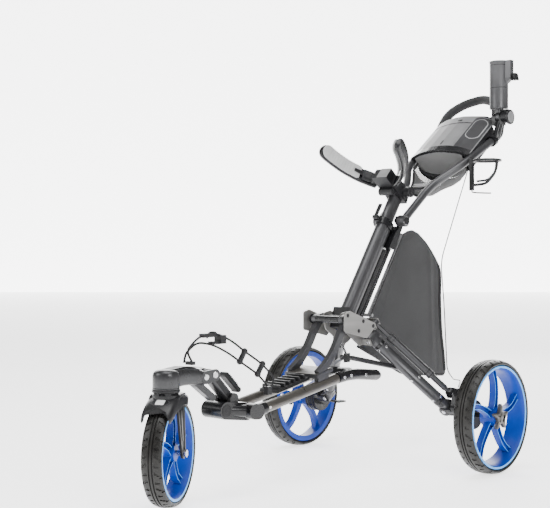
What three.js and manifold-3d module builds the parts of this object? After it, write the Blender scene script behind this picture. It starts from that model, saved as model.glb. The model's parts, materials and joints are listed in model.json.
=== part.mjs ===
// Three-wheel folding golf push cart. Millimetres, +Z up, the front wheel points along -Y.
// Lengths below are measured from a point on the floor midway between the two rear wheels;
// the whole cart is shifted at the end so that the origin is under the middle of its bounding box.
import * as THREE from 'three';
import { mergeVertices } from 'three/addons/utils/BufferGeometryUtils.js';
import Module from 'manifold-3d';

// ---- driving dimensions ----
const GAP = 0.4;                    // clearance between pieces that touch in the real cart
const TRACK = 643.5;                // distance between the rear tyres' middles
const WHEELBASE = 805;              // rear axle to front axle, front wheel straight
const REAR_TYRE_R = 145;
const REAR_TYRE_W = 54;
const FRONT_TYRE_R = 120;
const FRONT_TYRE_W = 48;
const TYRE_DEPTH = 17;              // tread surface to rim seat
const AXLE_R = 6;

const COLUMN_LEAN = 34.6;           // degrees from upright, leaning back
const COLUMN_FOOT = [0, -179, 415]; // middle of the column's lower end
const COLUMN_LEN = 275;             // outer column
const COLUMN_W = 32;
const COLUMN_D = 48;
const COLUMN_WALL = 2.2;
const SLIDE_LEN = 204;              // inner column, part of it hidden in the outer one
const SLIDE_OUT = 86;               // how far it stands out
const PLATE_X = 27;                 // inner face of each side plate
const PLATE_T = 3;
const COVER_X = 66;                 // inner face of the cover plate outside the legs' pivots

const LOWER_X = 45;                 // lower tubes, sideways
const LOWER_R = 13;
const FOLD_PIN = [-240, 396];       // Y, Z of the pin the lower frame folds about
const NOSE_PIN = [-636, 226];       // Y, Z of the pin the front arm folds about
const TRAIL = 20;                   // steering stem to front axle, sideways on
const STEER_Y = -(WHEELBASE + TRAIL);
const HEAD_Z0 = 256;
const HEAD_Z1 = 306;
const STEER_TURN = 27.8;            // degrees the front wheel is swivelled

const LEG_ROOT = [52, -148, 340];
const LEG_SPREAD = 34;              // degrees between the leg and the folded position
const LEG_LEN = 266;
const LEG_R = 15.5;
const LINK_STEP = [6, 6, 38];       // from the leg's pivots to the upper link's pivots
const LINK_R = 8;
const LINK_NECK_R = 6.4;           // its thinner ends, where it passes the lugs

const HANDLE_PIN = [0, 7, 650];
const HANDLE_X0 = 40;
const HANDLE_X1 = 108;
const HANDLE_R = 11;
const GRIP_R = 13.5;
const CONSOLE_W = 190;
const UMBRELLA_R = 26.8;
const UMBRELLA_WALL = 2.5;
const ARM_SPAN = 128;               // bag bracket, half the distance between the arm tips
const ARM_BAND = 44;                // bag bracket, width of the arms

// ---- colours ----
const CHARCOAL = [0x37373a, 0.5, 0.35];
const BLACK = [0x1b1b1d, 0.55, 0];
const DARK_PLASTIC = [0x2a2a2c, 0.5, 0];
const PLATE_GREY = [0x8e8e90, 0.45, 0.6];
const WARM_GREY = [0x66625c, 0.42, 0.5];
const STEEL = [0xb4b4b6, 0.3, 0.9];
const PALE_PAD = [0xb9b9b9, 0.85, 0];
const LID_GREY = [0x9a9a9c, 0.5, 0];
const NET_GREY = [0x8c8c8c, 0.9, 0];
const FABRIC = [0x3c3c3e, 0.95, 0];
const BLUE = [0x0a49c4, 0.35, 0];
const TYRE = [0x343330, 0.85, 0];
const CAP_GREY = [0x6a6560, 0.45, 0.4];

const wasm = await Module();
wasm.setup();

// ---- shaping ----
function toSolid(geometry) {
  const bare = geometry.index ? geometry.toNonIndexed() : geometry.clone();
  bare.deleteAttribute('normal');
  bare.deleteAttribute('uv');
  const merged = mergeVertices(bare, 1e-4);
  const p = merged.attributes.position.array;
  const idx = merged.index.array;
  const tri = [];
  let volume = 0;
  for (let i = 0; i < idx.length; i += 3) {
    const [a, b, c] = [idx[i], idx[i + 1], idx[i + 2]];
    if (a === b || b === c || a === c) continue;
    tri.push(a, b, c);
    const va = new THREE.Vector3().fromArray(p, a * 3);
    const vb = new THREE.Vector3().fromArray(p, b * 3);
    const vc = new THREE.Vector3().fromArray(p, c * 3);
    volume += va.dot(vb.cross(vc));
  }
  if (volume < 0) tri.reverse();
  return new wasm.Manifold(new wasm.Mesh({
    numProp: 3,
    vertProperties: new Float32Array(p),
    triVerts: new Uint32Array(tri),
  }));
}

function toGeometry(solid) {
  const m = solid.getMesh();
  const g = new THREE.BufferGeometry();
  const n = m.numProp;
  const pos = new Float32Array((m.vertProperties.length / n) * 3);
  for (let i = 0; i < pos.length / 3; i++) {
    pos[i * 3] = m.vertProperties[i * n];
    pos[i * 3 + 1] = m.vertProperties[i * n + 1];
    pos[i * 3 + 2] = m.vertProperties[i * n + 2];
  }
  g.setAttribute('position', new THREE.BufferAttribute(pos, 3));
  g.setIndex(new THREE.BufferAttribute(Uint32Array.from(m.triVerts), 1));
  g.computeVertexNormals();
  return g;
}

const join = (...parts) => toGeometry(parts.map(toSolid).reduce((a, b) => a.add(b)));
const cut = (body, ...tools) => toGeometry(tools.map(toSolid).reduce((a, b) => a.subtract(b), toSolid(body)));

function box(w, d, h, x = 0, y = 0, z = 0) {
  return new THREE.BoxGeometry(w, d, h).translate(x, y, z);
}

function rod(a, b, r, sides = 12, r2 = r) {
  const from = new THREE.Vector3(...a);
  const to = new THREE.Vector3(...b);
  const dir = to.clone().sub(from);
  const g = new THREE.CylinderGeometry(r2, r, dir.length(), sides);
  g.applyQuaternion(new THREE.Quaternion().setFromUnitVectors(new THREE.Vector3(0, 1, 0), dir.clone().normalize()));
  return g.translate(...from.add(to).multiplyScalar(0.5).toArray());
}

// a bent tube or cord: corners of the route are rounded, then a round section follows it
function pipe(points, r, corner, step, sides = 10) {
  const p = points.map((q) => new THREE.Vector3(...q));
  const path = new THREE.CurvePath();
  let last = p[0];
  for (let i = 1; i < p.length - 1; i++) {
    const into = p[i].clone().sub(p[i - 1]);
    const out = p[i + 1].clone().sub(p[i]);
    const c = Math.min(corner, into.length() * 0.45, out.length() * 0.45);
    const a = p[i].clone().sub(into.normalize().multiplyScalar(c));
    const b = p[i].clone().add(out.normalize().multiplyScalar(c));
    path.add(new THREE.LineCurve3(last, a));
    path.add(new THREE.QuadraticBezierCurve3(a, p[i], b));
    last = b;
  }
  path.add(new THREE.LineCurve3(last, p[p.length - 1]));
  const shape = new THREE.Shape();
  for (let i = 0; i < sides; i++) {
    const t = (i / sides) * Math.PI * 2;
    if (i === 0) shape.moveTo(r, 0);
    else shape.lineTo(r * Math.cos(t), r * Math.sin(t));
  }
  shape.closePath();
  const steps = Math.max(2, Math.min(80, Math.round(path.getLength() / step)));
  return new THREE.ExtrudeGeometry(shape, { steps, bevelEnabled: false, extrudePath: path });
}

function outline(points) {
  const shape = new THREE.Shape();
  points.forEach(([a, b], i) => (i === 0 ? shape.moveTo(a, b) : shape.lineTo(a, b)));
  shape.closePath();
  return shape;
}

// a side view outline (Y, Z) given thickness from x0 to x1
function slab(points, x0, x1) {
  const g = new THREE.ExtrudeGeometry(outline(points), { depth: x1 - x0, bevelEnabled: false });
  return g.applyMatrix4(new THREE.Matrix4().set(0, 0, 1, x0, 1, 0, 0, 0, 0, 1, 0, 0, 0, 0, 0, 1));
}

// a plan view outline (X, Y) given thickness from z0 to z1
function sheet(points, z0, z1) {
  return new THREE.ExtrudeGeometry(outline(points), { depth: z1 - z0, bevelEnabled: false }).translate(0, 0, z0);
}

// the outline that wraps round circles [a, b, radius], as a belt would
function belt(circles, sides = 12) {
  const pts = [];
  for (const [a, b, r] of circles) {
    for (let i = 0; i < sides; i++) {
      const t = (i / sides) * Math.PI * 2;
      pts.push([a + r * Math.cos(t), b + r * Math.sin(t)]);
    }
  }
  pts.sort((p, q) => p[0] - q[0] || p[1] - q[1]);
  const side = (list) => {
    const hull = [];
    for (const q of list) {
      while (hull.length > 1) {
        const [o, m] = [hull[hull.length - 2], hull[hull.length - 1]];
        if ((m[0] - o[0]) * (q[1] - o[1]) - (m[1] - o[1]) * (q[0] - o[0]) > 1e-6) break;
        hull.pop();
      }
      hull.push(q);
    }
    hull.pop();
    return hull;
  };
  return [...side(pts), ...side(pts.reverse())];
}

// a ring or wheel section [radius, sideways] turned about the X axis
function turned(profile, sides = 48) {
  const pts = profile.map(([r, x]) => new THREE.Vector2(r, x));
  return new THREE.LatheGeometry(pts, sides).rotateZ(-Math.PI / 2);
}

function ovalBar(w, d, z0, z1) {
  const flat = (d - w) / 2;
  return sheet(belt([[0, -flat, w / 2], [0, flat, w / 2]], 20), z0, z1);
}

const cart = new THREE.Group();
const layout = new THREE.Group();
cart.add(layout);

function add(parent, name, geometry, [color, roughness, metalness]) {
  const mesh = new THREE.Mesh(geometry, new THREE.MeshStandardMaterial({ color, roughness, metalness }));
  mesh.name = name;
  parent.add(mesh);
  return mesh;
}

const sides = [['left', -1], ['right', 1]];

// ---- main frame: two side plates bolted over a block that holds the leaning column ----
const column = new THREE.Group();
column.position.set(...COLUMN_FOOT);
column.rotation.x = THREE.MathUtils.degToRad(-COLUMN_LEAN);
layout.add(column);
const leanS = Math.sin(THREE.MathUtils.degToRad(COLUMN_LEAN));
const leanC = Math.cos(THREE.MathUtils.degToRad(COLUMN_LEAN));
// Y, Z on the cart turned into sideways depth and height along the column
const onColumn = ([y, z]) => [
  (y - COLUMN_FOOT[1]) * leanC - (z - COLUMN_FOOT[2]) * leanS,
  (y - COLUMN_FOOT[1]) * leanS + (z - COLUMN_FOOT[2]) * leanC,
];

const plateCorners = [[-224, 409, 3], [-133, 383, 5], [-100, 368, 5], [-150, 332, 6], [-170, 325, 6], [-238, 367, 4],
  [...FOLD_PIN, 13]];
const coverCorners = [[-278, 405, 6], [-262, 410, 5], [-206, 392, 5], [-160, 375, 6], [-192, 349, 6], [-278, 368, 6]];
const spacers = [[-213, 391], [-181, 358]];
for (const [side, s] of sides) {
  const inner = s * PLATE_X;
  const outer = s * (PLATE_X + PLATE_T);
  const cover = s * (COVER_X + PLATE_T);
  const plate = slab(belt(plateCorners), Math.min(inner, outer), Math.max(inner, outer));
  const coverPlate = slab(belt(coverCorners), Math.min(s * COVER_X, cover), Math.max(s * COVER_X, cover));
  const bars = spacers.map(([y, z]) => rod([s * (PLATE_X + 1), y, z], [cover - s, y, z], 5, 12));
  add(layout, `${side}_side_plate`, join(plate, coverPlate, ...bars), PLATE_GREY);
}
const blockOutline = [[-30, -12], [27, -12], [52, -6], [62, -46], [-14, -64]];
// the block also carries the rod that locks the fold, standing behind the column
add(column, 'plate_block', join(
  slab(blockOutline, -PLATE_X + GAP, PLATE_X - GAP),
  rod([0, 54, -26], [0, 54, 250], 6, 12),
), BLACK);

const columnTube = cut(
  ovalBar(COLUMN_W, COLUMN_D, -8, COLUMN_LEN),
  ovalBar(COLUMN_W - 2 * COLUMN_WALL, COLUMN_D - 2 * COLUMN_WALL, 20, COLUMN_LEN + 5),
);
add(column, 'outer_column', columnTube, CHARCOAL);
const slideW = COLUMN_W - 2 * COLUMN_WALL - 2 * GAP;
const slideD = COLUMN_D - 2 * COLUMN_WALL - 2 * GAP;
const collar = ovalBar(COLUMN_W + 7, COLUMN_D + 7, COLUMN_LEN - 12, COLUMN_LEN + 8);
const collarLug = box(16, 14, 14, 0, -COLUMN_D / 2 - 6, COLUMN_LEN - 7);
const columnBore = ovalBar(COLUMN_W + 2 * GAP, COLUMN_D + 2 * GAP, COLUMN_LEN - 16, COLUMN_LEN + GAP);
const slideBore = ovalBar(slideW + 2 * GAP, slideD + 2 * GAP, COLUMN_LEN - 13, COLUMN_LEN + 20);
add(column, 'column_collar', cut(join(collar, collarLug), slideBore, columnBore), BLACK);

// quick-release lever: its eye sits against the collar's lug, its blade runs up in front of the slide
const leverY = -COLUMN_D / 2 - 13 - GAP;
add(column, 'height_lever', join(
  rod([-8, leverY - 6, COLUMN_LEN - 7], [8, leverY - 6, COLUMN_LEN - 7], 6, 12),
  box(11, 4, 42, 0, leverY - 8, COLUMN_LEN + 14),
), BLACK);

// thin rail that carries the storage bag's front edge
add(layout, 'rear_rail', join(
  rod([0, -96, 396], [0, 56, 616], 4, 10),
  rod([-14, -96, 396], [14, -96, 396], 4.5, 10),
), STEEL);

// casting clamped to the back of the column; its two cheeks hold the handle's pin
const [pinDepth, pinHeight] = onColumn([HANDLE_PIN[1], HANDLE_PIN[2]]);
const webFront = COLUMN_D / 2 + GAP;
const cheek = [[webFront, 214], [webFront, 262], [30, 286], [pinDepth - 12, pinHeight - 8],
  [pinDepth - 12, pinHeight + 8], [pinDepth + 6, pinHeight + 15], [44, 296], [46, 222]];
const cheekShape = (x0, x1) => slab(cheek, x0, x1);
add(column, 'pivot_casting', cut(
  join(
    cheekShape(20, 27),
    cheekShape(-27, -20),
    slab([[webFront, 214], [webFront, 262], [34, 292], [44, 292], [46, 222]], -22, 22),
    rod([-52, pinDepth, pinHeight], [-21, pinDepth, pinHeight], 6, 12),
    rod([21, pinDepth, pinHeight], [52, pinDepth, pinHeight], 6, 12),
    ...[-1, 1].map((s) => rod([s * 52, pinDepth, pinHeight], [s * 55, pinDepth, pinHeight], 10, 14)),
  ),
  ovalBar(COLUMN_W + 8, COLUMN_D + 8, COLUMN_LEN - 13, COLUMN_LEN + 9),
), BLACK);

// storage bag: a flat fabric pouch hung from the rail, open along its upper rear edge
const bagFront = [[64, 617], [-84, 402]];
const bagLower = [[-146, 312], [-66, 279], [54, 225], [262, 204], [276, 212]];
const bagRear = [[266, 270], [254, 330], [247, 417], [247, 512], [240, 531], [211, 563], [176, 594], [136, 619], [106, 628], [82, 624]];
add(layout, 'storage_bag', slab([...bagFront, ...bagLower, ...bagRear], -14, 14), FABRIC);

// ---- height slide and bag bracket ----
const slideTop = COLUMN_LEN + SLIDE_OUT;
const slide = new THREE.Group();
column.add(slide);
add(slide, 'inner_column', ovalBar(slideW, slideD, slideTop - SLIDE_LEN, slideTop), CHARCOAL);

const BRACKET_Z = slideTop + 18;
const bracketTop = BRACKET_Z + 20;
const bracketBody = join(
  slab([[-24, slideTop + GAP], [24, slideTop + GAP], [18, bracketTop], [-54, bracketTop], [-60, BRACKET_Z - 14]], -25, 25),
  rod([-30, 4, slideTop + 12], [30, 4, slideTop + 12], 11, 16),
  rod([-22, -42, slideTop - 6], [22, -42, slideTop - 6], 11, 16),
  rod([-34, 0, BRACKET_Z + 4], [46, 0, BRACKET_Z + 4], 15, 16),
  slab([[-94, BRACKET_Z - 16], [-50, BRACKET_Z - 18], [-50, BRACKET_Z + 16], [-88, BRACKET_Z + 18]], -25, 25),
);
add(slide, 'bag_bracket', bracketBody, BLACK);

const armLine = [[31, -58], [46, -68], [72, -92], [98, -128], [116, -170], [ARM_SPAN, -215]];
function armBand(line, inner, outer, z0, z1, pieces = 10) {
  const curve = new THREE.CatmullRomCurve3(line.map(([x, y]) => new THREE.Vector3(x, y, 0)));
  const near = [];
  const far = [];
  for (let i = 0; i <= pieces; i++) {
    const p = curve.getPoint(i / pieces);
    const t = curve.getTangent(i / pieces);
    near.push([p.x - t.y * inner, p.y + t.x * inner]);
    far.push([p.x - t.y * outer, p.y + t.x * outer]);
  }
  return sheet([...near, ...far.reverse()], z0, z1);
}
for (const [side, s] of sides) {
  const z0 = BRACKET_Z - ARM_BAND / 2;
  const z1 = BRACKET_Z + ARM_BAND / 2;
  const flip = (g) => (s < 0 ? toGeometry(toSolid(g.clone().scale(-1, 1, 1))) : g);
  const buckle = armBand([[46, -68], [54, -74.5], [62, -82]], -18, -3, BRACKET_Z - 17, BRACKET_Z + 17);
  add(slide, `${side}_bracket_arm`, flip(join(
    armBand(armLine, -4, 4, z0 + 2, z1 - 2),
    armBand(armLine, -6.5, 4, z0 + 16, z1 - 16),
    ...(s < 0 ? [buckle] : []),
  )), BLACK);
  add(slide, `${side}_arm_pad`, flip(armBand(armLine.slice(2), -4 - GAP - 8, -6.5 - GAP, z0, z1)), PALE_PAD);
}
// ---- handle: two bent tubes on the casting's pin, and a padded bow across their ends ----
const handle = new THREE.Group();
handle.position.set(...HANDLE_PIN);
layout.add(handle);
const tubeRoute = (s) => [[s * HANDLE_X0, 6, 4.6], [s * HANDLE_X0, 132, 101], [s * 99, 221, 170], [s * HANDLE_X1, 372, 252]];
for (const [side, s] of sides) {
  const eye = rod([s * 29.5, 0, 0], [s * 50.5, 0, 0], 16, 20);
  const bore = rod([s * 20, 0, 0], [s * 60, 0, 0], 6 + GAP, 16);
  add(handle, `${side}_handle_tube`, cut(join(pipe(tubeRoute(s), HANDLE_R, 45, 26, 10), eye), bore), CHARCOAL);
}
const bowHalf = [[HANDLE_X1 - 0.5, 376, 255], [HANDLE_X1 - 1, 389, 265], [104, 403, 300], [88, 421, 341], [52, 451, 370]];
const bowRoute = [...bowHalf.map(([x, y, z]) => [-x, y, z]), [0, 473, 385], ...bowHalf.slice().reverse()];
const leverPin = [66, 420, 312];
add(handle, 'handle_bow', join(
  pipe(bowRoute, GRIP_R, 22, 18, 10),
  box(10, 12, 40, leverPin[0], leverPin[1] + 13.5, leverPin[2] + 27.5),
), BLACK);
add(handle, 'brake_lever', join(
  pipe([leverPin, [40, 432, 322], [-24, 442, 328]], 4.5, 20, 14, 8),
  rod([leverPin[0], leverPin[1] - 4, leverPin[2] - 5], [leverPin[0], leverPin[1] + 3, leverPin[2] + 4.5], 8, 12),
), BLACK);

// console: shallow tray slung between the tubes, arched lid over it, mesh net in front of its mouth
const consoleDeck = new THREE.Group();
consoleDeck.rotation.x = Math.atan2(0.6, 0.8);
handle.add(consoleDeck);
const TRAY_Y0 = 304;
const TRAY_Y1 = 486;
const trayHalf = CONSOLE_W / 2 - 9;
const tray = cut(
  box(2 * trayHalf, TRAY_Y1 - TRAY_Y0, 54, 0, (TRAY_Y0 + TRAY_Y1) / 2, -15),
  box(2 * trayHalf - 6, TRAY_Y1 - TRAY_Y0, 54, 0, (TRAY_Y0 + TRAY_Y1) / 2 - 3, -12),
);
add(consoleDeck, 'console_tray', tray, DARK_PLASTIC);
const arch = [[-100, 14], [-88, 21], [-62, 31], [-30, 37], [0, 39], [30, 37], [62, 31], [88, 21], [100, 14]];
const archUnder = arch.map(([x, z]) => [x * 0.965, z - 3.5]).reverse();
const lidShape = new THREE.ExtrudeGeometry(outline([...arch, ...archUnder]), { depth: 186, bevelEnabled: false });
lidShape.rotateX(Math.PI / 2).translate(0, 488, 0);
add(consoleDeck, 'console_lid', toGeometry(toSolid(lidShape)), LID_GREY);

const netPlan = (d) => [[-26 + d, 158 + d], [26 - d, 158 + d], [39 - d, 198], [80 - d, 276], [80 - d, 300 + 2 * d - 0.5], [-80 + d, 300 + 2 * d - 0.5], [-80 + d, 276], [-39 + d, 198]];
const netSide = (d) => [[150, 1], [150, -26 + d], [190, -48 + d], [250, -64 + d], [310, -68 + d], [310, 1]];
const netOuter = toSolid(sheet(netPlan(0), -80, 0)).intersect(toSolid(slab(netSide(0), -90, 90)));
const netInner = toSolid(sheet(netPlan(2.5), -80, 5)).intersect(toSolid(slab(netSide(2.5).map(([y, z]) => [y, z > 0 ? 4 : z]), -90, 90)));
add(consoleDeck, 'mesh_net', toGeometry(netOuter.subtract(netInner)), NET_GREY);

// cup holder: upright bar on the right tube with a wire foot; the ring and hoop fold up on it
const cup = [125, 225, 172];        // middle of the ring's hinge, from the handle pin
add(handle, 'cup_holder_bar', join(
  box(8, 15, 92, cup[0] - 8, cup[1], cup[2] - 36),
  pipe([[cup[0] - 8, cup[1], cup[2] - 80], [cup[0] - 8, cup[1], cup[2] - 87], [cup[0] + 6, cup[1] + 6, cup[2] - 89], [cup[0] + 44, cup[1] + 18, cup[2] - 91]], 2.2, 5, 8, 8),
), DARK_PLASTIC);
const ringWire = 4;
const ringProfile = [];
for (let i = 0; i <= 8; i++) {
  const t = (i / 8) * Math.PI * 2;
  ringProfile.push(new THREE.Vector2(38 + ringWire * Math.cos(t), ringWire * Math.sin(t)));
}
const cupRing = new THREE.LatheGeometry(ringProfile, 18).rotateX(Math.PI / 2).translate(cup[0] + 41, cup[1], cup[2]);
add(handle, 'cup_holder_ring', join(
  cupRing,
  rod([cup[0], cup[1] - 14, cup[2]], [cup[0], cup[1] + 14, cup[2]], 3.6, 10),
  rod([cup[0], cup[1], cup[2]], [cup[0] + 5, cup[1], cup[2]], 3.4, 8),
  pipe([[cup[0] + 78, cup[1] - 8, cup[2]], [cup[0] + 76, cup[1] - 10, cup[2] - 34], [cup[0] + 46, cup[1] - 10, cup[2] - 66], [cup[0] + 4, cup[1] - 10, cup[2] - 68]], 3.6, 16, 8, 8),
), DARK_PLASTIC);

// umbrella holder: deep cup with a clamping lug and thumb screw, on an elbow clamped to the right tube
const umbrella = [120, 368, 311];   // tilt axis, from the handle pin
const cupBase = umbrella[2] + 22;
const cupTop = umbrella[2] + 162;
const clampOn = tubeRoute(1)[3].map((v, i) => v - [1, 13, 7][i]);
add(handle, 'umbrella_clamp', cut(
  join(
    rod([clampOn[0] - 0.8, clampOn[1] - 13, clampOn[2] - 7], clampOn, 17, 16),
    rod([clampOn[0] + 13, clampOn[1] - 4, clampOn[2] + 2], [umbrella[0] + 2, umbrella[1], umbrella[2] - 16], 11, 12),
    box(34, 20, 12, umbrella[0], umbrella[1], umbrella[2] - 19),
    ...[-1, 1].map((s) => slab(belt([[umbrella[1], umbrella[2], 11], [umbrella[1], umbrella[2] - 16, 10]]),
      umbrella[0] + (s < 0 ? -17 : 6.6), umbrella[0] + (s < 0 ? -6.6 : 17))),
    rod([umbrella[0] + 16, umbrella[1], umbrella[2]], [umbrella[0] + 32, umbrella[1], umbrella[2]], 19, 18, 20.5),
  ),
  pipe(tubeRoute(1), HANDLE_R + GAP, 45, 26, 10),
  pipe(bowRoute, GRIP_R + GAP, 22, 18, 10),
  rod([umbrella[0] - 6.6, umbrella[1], umbrella[2]], [umbrella[0] + 6.6, umbrella[1], umbrella[2]], 13.5, 16),
), DARK_PLASTIC);
const cupShell = cut(
  join(
    rod([umbrella[0], umbrella[1], cupBase], [umbrella[0], umbrella[1], cupTop], UMBRELLA_R, 28),
    box(22, 18, 66, umbrella[0] + UMBRELLA_R + 8, umbrella[1], cupTop - 33),
    rod([umbrella[0] - 6, umbrella[1], umbrella[2]], [umbrella[0] + 6, umbrella[1], umbrella[2]], 11, 16),
    box(12, 18, 18, umbrella[0], umbrella[1], umbrella[2] + 16),
  ),
  rod([umbrella[0], umbrella[1], cupBase + 5], [umbrella[0], umbrella[1], cupTop + 5], UMBRELLA_R - UMBRELLA_WALL, 28),
);
add(handle, 'umbrella_holder', cupShell, CHARCOAL);
const screwX = umbrella[0] + UMBRELLA_R + 19 + GAP;
add(handle, 'umbrella_screw', join(
  rod([screwX, umbrella[1], cupTop - 50], [screwX + 10, umbrella[1], cupTop - 50], 4.5, 12),
  slab(belt([[umbrella[1] - 9, cupTop - 44, 4], [umbrella[1] + 9, cupTop - 56, 4]]), screwX + 8, screwX + 13),
), BLACK);

// brake cable: from the console down behind the storage bag to the right wheel carrier
add(layout, 'brake_cable', pipe([
  [20, 407, 889], [20, 396, 866], [20, 328, 740], [20, 222, 540], [20, 240, 400], [20, 254, 222], [52, 238, 200],
  [190, 60, 222], [231, -14, 214.5],
], 1.6, 30, 20, 8), BLACK);

// ---- legs: on each side a leg and a link above it carry the wheel carrier, so the wheels stay parallel ----
const LEG_TILT = 35;                // degrees the fold axis leans back from level
const onLegAxes = (g, at) => g.rotateX(THREE.MathUtils.degToRad(LEG_TILT)).translate(...at);
const spreadRad = THREE.MathUtils.degToRad(LEG_SPREAD);
const tiltRad = THREE.MathUtils.degToRad(LEG_TILT);
const along = (s, d) => [s * d * Math.sin(spreadRad), 0, -d * Math.cos(spreadRad)];
const toCart = ([x, y, z], [ox, oy, oz]) => [
  ox + x,
  oy + y * Math.cos(tiltRad) - z * Math.sin(tiltRad),
  oz + y * Math.sin(tiltRad) + z * Math.cos(tiltRad),
];
function pivots(s) {
  const root = [s * LEG_ROOT[0], LEG_ROOT[1], LEG_ROOT[2]];
  const linkRoot = [root[0] + s * LINK_STEP[0], root[1] + LINK_STEP[1], root[2] + LINK_STEP[2]];
  const foot = toCart(along(s, LEG_LEN), root);
  const linkFoot = toCart(along(s, LEG_LEN), linkRoot);
  return { root, linkRoot, foot, linkFoot };
}
const BOSS = 16.5;                  // half height of a leg's pivot boss
const LINK_BOSS = 7.5;
const LUG_T = 2.6;
const lug = (s, x0, x1, y, at) => onLegAxes(box(Math.abs(x1 - x0), LUG_T, 19, s * (x0 + x1) / 2, y, 0), at);
for (const [side, s] of sides) {
  const { root, linkRoot, foot, linkFoot } = pivots(s);
  const plate = layout.getObjectByName(`${side}_side_plate`);
  const lugs = [-1, 1].flatMap((k) => [
    lug(s, PLATE_X + 1 - LEG_ROOT[0], 9, k * (BOSS + GAP + LUG_T / 2), root),
    lug(s, PLATE_X + 1 - LEG_ROOT[0] - LINK_STEP[0], 7, k * (LINK_BOSS + GAP + LUG_T / 2), linkRoot),
  ]);
  const pinBore = rod([s * 20, ...FOLD_PIN], [s * 40, ...FOLD_PIN], 6 + GAP, 16);
  plate.geometry = cut(join(plate.geometry, ...lugs), pinBore);

  const legTube = onLegAxes(join(
    rod([0, 0, 0], along(s, LEG_LEN), LEG_R, 16),
    rod([0, -BOSS, 0], [0, BOSS, 0], LEG_R, 16),
    rod(along(s, LEG_LEN).map((v, i) => (i === 1 ? -BOSS : v)), along(s, LEG_LEN).map((v, i) => (i === 1 ? BOSS : v)), LEG_R, 16),
  ), root);
  add(layout, `${side}_leg`, legTube, CHARCOAL);

  const at = (d) => along(s, d);
  const linkEnd = at(LEG_LEN);
  add(layout, `${side}_upper_link`, onLegAxes(join(
    rod([0, 0, 0], at(60), LINK_NECK_R, 12),
    rod(at(50), at(LEG_LEN - 18), LINK_R, 12),
    rod(at(LEG_LEN - 24), linkEnd, LINK_NECK_R, 12),
    rod(at(60), at(190), 10.5, 14),
    rod(at(50), at(68), 11.2, 14),
    rod(at(180), at(200), 11.2, 14),
    rod([0, -LINK_BOSS, 0], [0, LINK_BOSS, 0], 9.5, 14),
    rod([linkEnd[0], -LINK_BOSS, linkEnd[2]], [linkEnd[0], LINK_BOSS, linkEnd[2]], 9.5, 14),
  ), linkRoot), DARK_PLASTIC);

  // spreader: from the middle of the leg in to the hub between the plates
  const knee = toCart(along(s, 120), root);
  const inner = [s * 15, -186, 288];
  add(layout, `${side}_spreader`, cut(
    join(rod(inner, knee, 6.5, 12), rod([inner[0] - s * 3, inner[1], inner[2]], [inner[0] + s * 6, inner[1], inner[2]], 6.5, 12)),
    onLegAxes(rod(along(s, 60), along(s, 180), LEG_R + GAP, 16), root),
  ), CHARCOAL);

  // wheel carrier: upright casting between the link ends and the axle, with the brake drum on it
  const plateX = s * 223;
  const carrierHull = belt([[linkFoot[1], linkFoot[2], 14], [foot[1], foot[2], 20], [0, REAR_TYRE_R, 20]]);
  const drumX = s * (TRACK / 2 - REAR_TYRE_W / 2 - 22);
  add(layout, `${side}_wheel_carrier`, join(
    slab(carrierHull, Math.min(plateX, s * 242), Math.max(plateX, s * 242)),
    rod([s * 240, 0, REAR_TYRE_R], [drumX, 0, REAR_TYRE_R], 37, 18),
    rod([s * 240, 0, REAR_TYRE_R], [s * (TRACK / 2 + 24), 0, REAR_TYRE_R], AXLE_R, 14),
    ...[-1, 1].flatMap((k) => [
      lug(s, -8, 224 - Math.abs(foot[0]), k * (BOSS + GAP + LUG_T / 2), foot),
      lug(s, -7, 224 - Math.abs(linkFoot[0]), k * (LINK_BOSS + GAP + LUG_T / 2), linkFoot),
    ]),
  ), BLACK);
}
add(layout, 'spreader_hub', join(
  box(5, 22, 24, 0, -188, 288),
  rod([0, -187, 292], [0, -213, 329], 2.4, 8),
), BLACK);

// foot pedal of the left wheel's brake
const pedalX = -(TRACK / 2 - REAR_TYRE_W / 2 - 13);
add(layout, 'brake_pedal', join(
  rod([pedalX - 3.5, 30, 152], [pedalX + 4.5, 30, 152], 10, 16),
  pipe([[pedalX, 30, 152], [pedalX, 70, 128], [pedalX, 108, 120]], 4, 20, 12, 8),
  box(22, 34, 4, pedalX + 8, 122, 119),
), BLACK);

// ---- wheels ----
function wheelParts(tyreR, tyreW, hubR) {
  const h = tyreW / 2;
  const seat = tyreR - TYRE_DEPTH;
  const tyre = turned([
    [seat, -h + 7], [seat + 3.5, -h + 5.5], [seat + 8, -h], [tyreR - 2, -h + 7], [tyreR, 0],
    [tyreR - 2, h - 7], [seat + 8, h], [seat + 3.5, h - 5.5], [seat, h - 7], [seat, -h + 7],
  ], 36);
  const barrel = turned([
    [seat - 11, -h + 2], [seat + 3, -h + 2], [seat + 3, -h + 4.6], [seat - 1, -h + 5.2],
    [seat - 1, h - 5.2], [seat + 3, h - 4.6], [seat + 3, h - 2], [seat - 11, h - 2], [seat - 11, -h + 2],
  ], 36);
  const spokes = [];
  for (let i = 0; i < 5; i++) {
    const line = [[0, hubR - 6], [7, hubR + 14], [9, (hubR + seat) / 2], [4, seat - 30], [-6, seat - 7]];
    const spoke = armBand(line, -9, 9, -7, 9, 6).applyMatrix4(new THREE.Matrix4().set(0, 0, 1, 0, 1, 0, 0, 0, 0, 1, 0, 0, 0, 0, 0, 1));
    spokes.push(spoke.rotateX((i / 5) * Math.PI * 2));
  }
  const hub = rod([-h + 5, 0, 0], [h - 7, 0, 0], hubR, 20);
  const bore = rod([-h, 0, 0], [h, 0, 0], AXLE_R + GAP, 12);
  return { tyre, rim: cut(join(barrel, hub, ...spokes), bore) };
}
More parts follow.
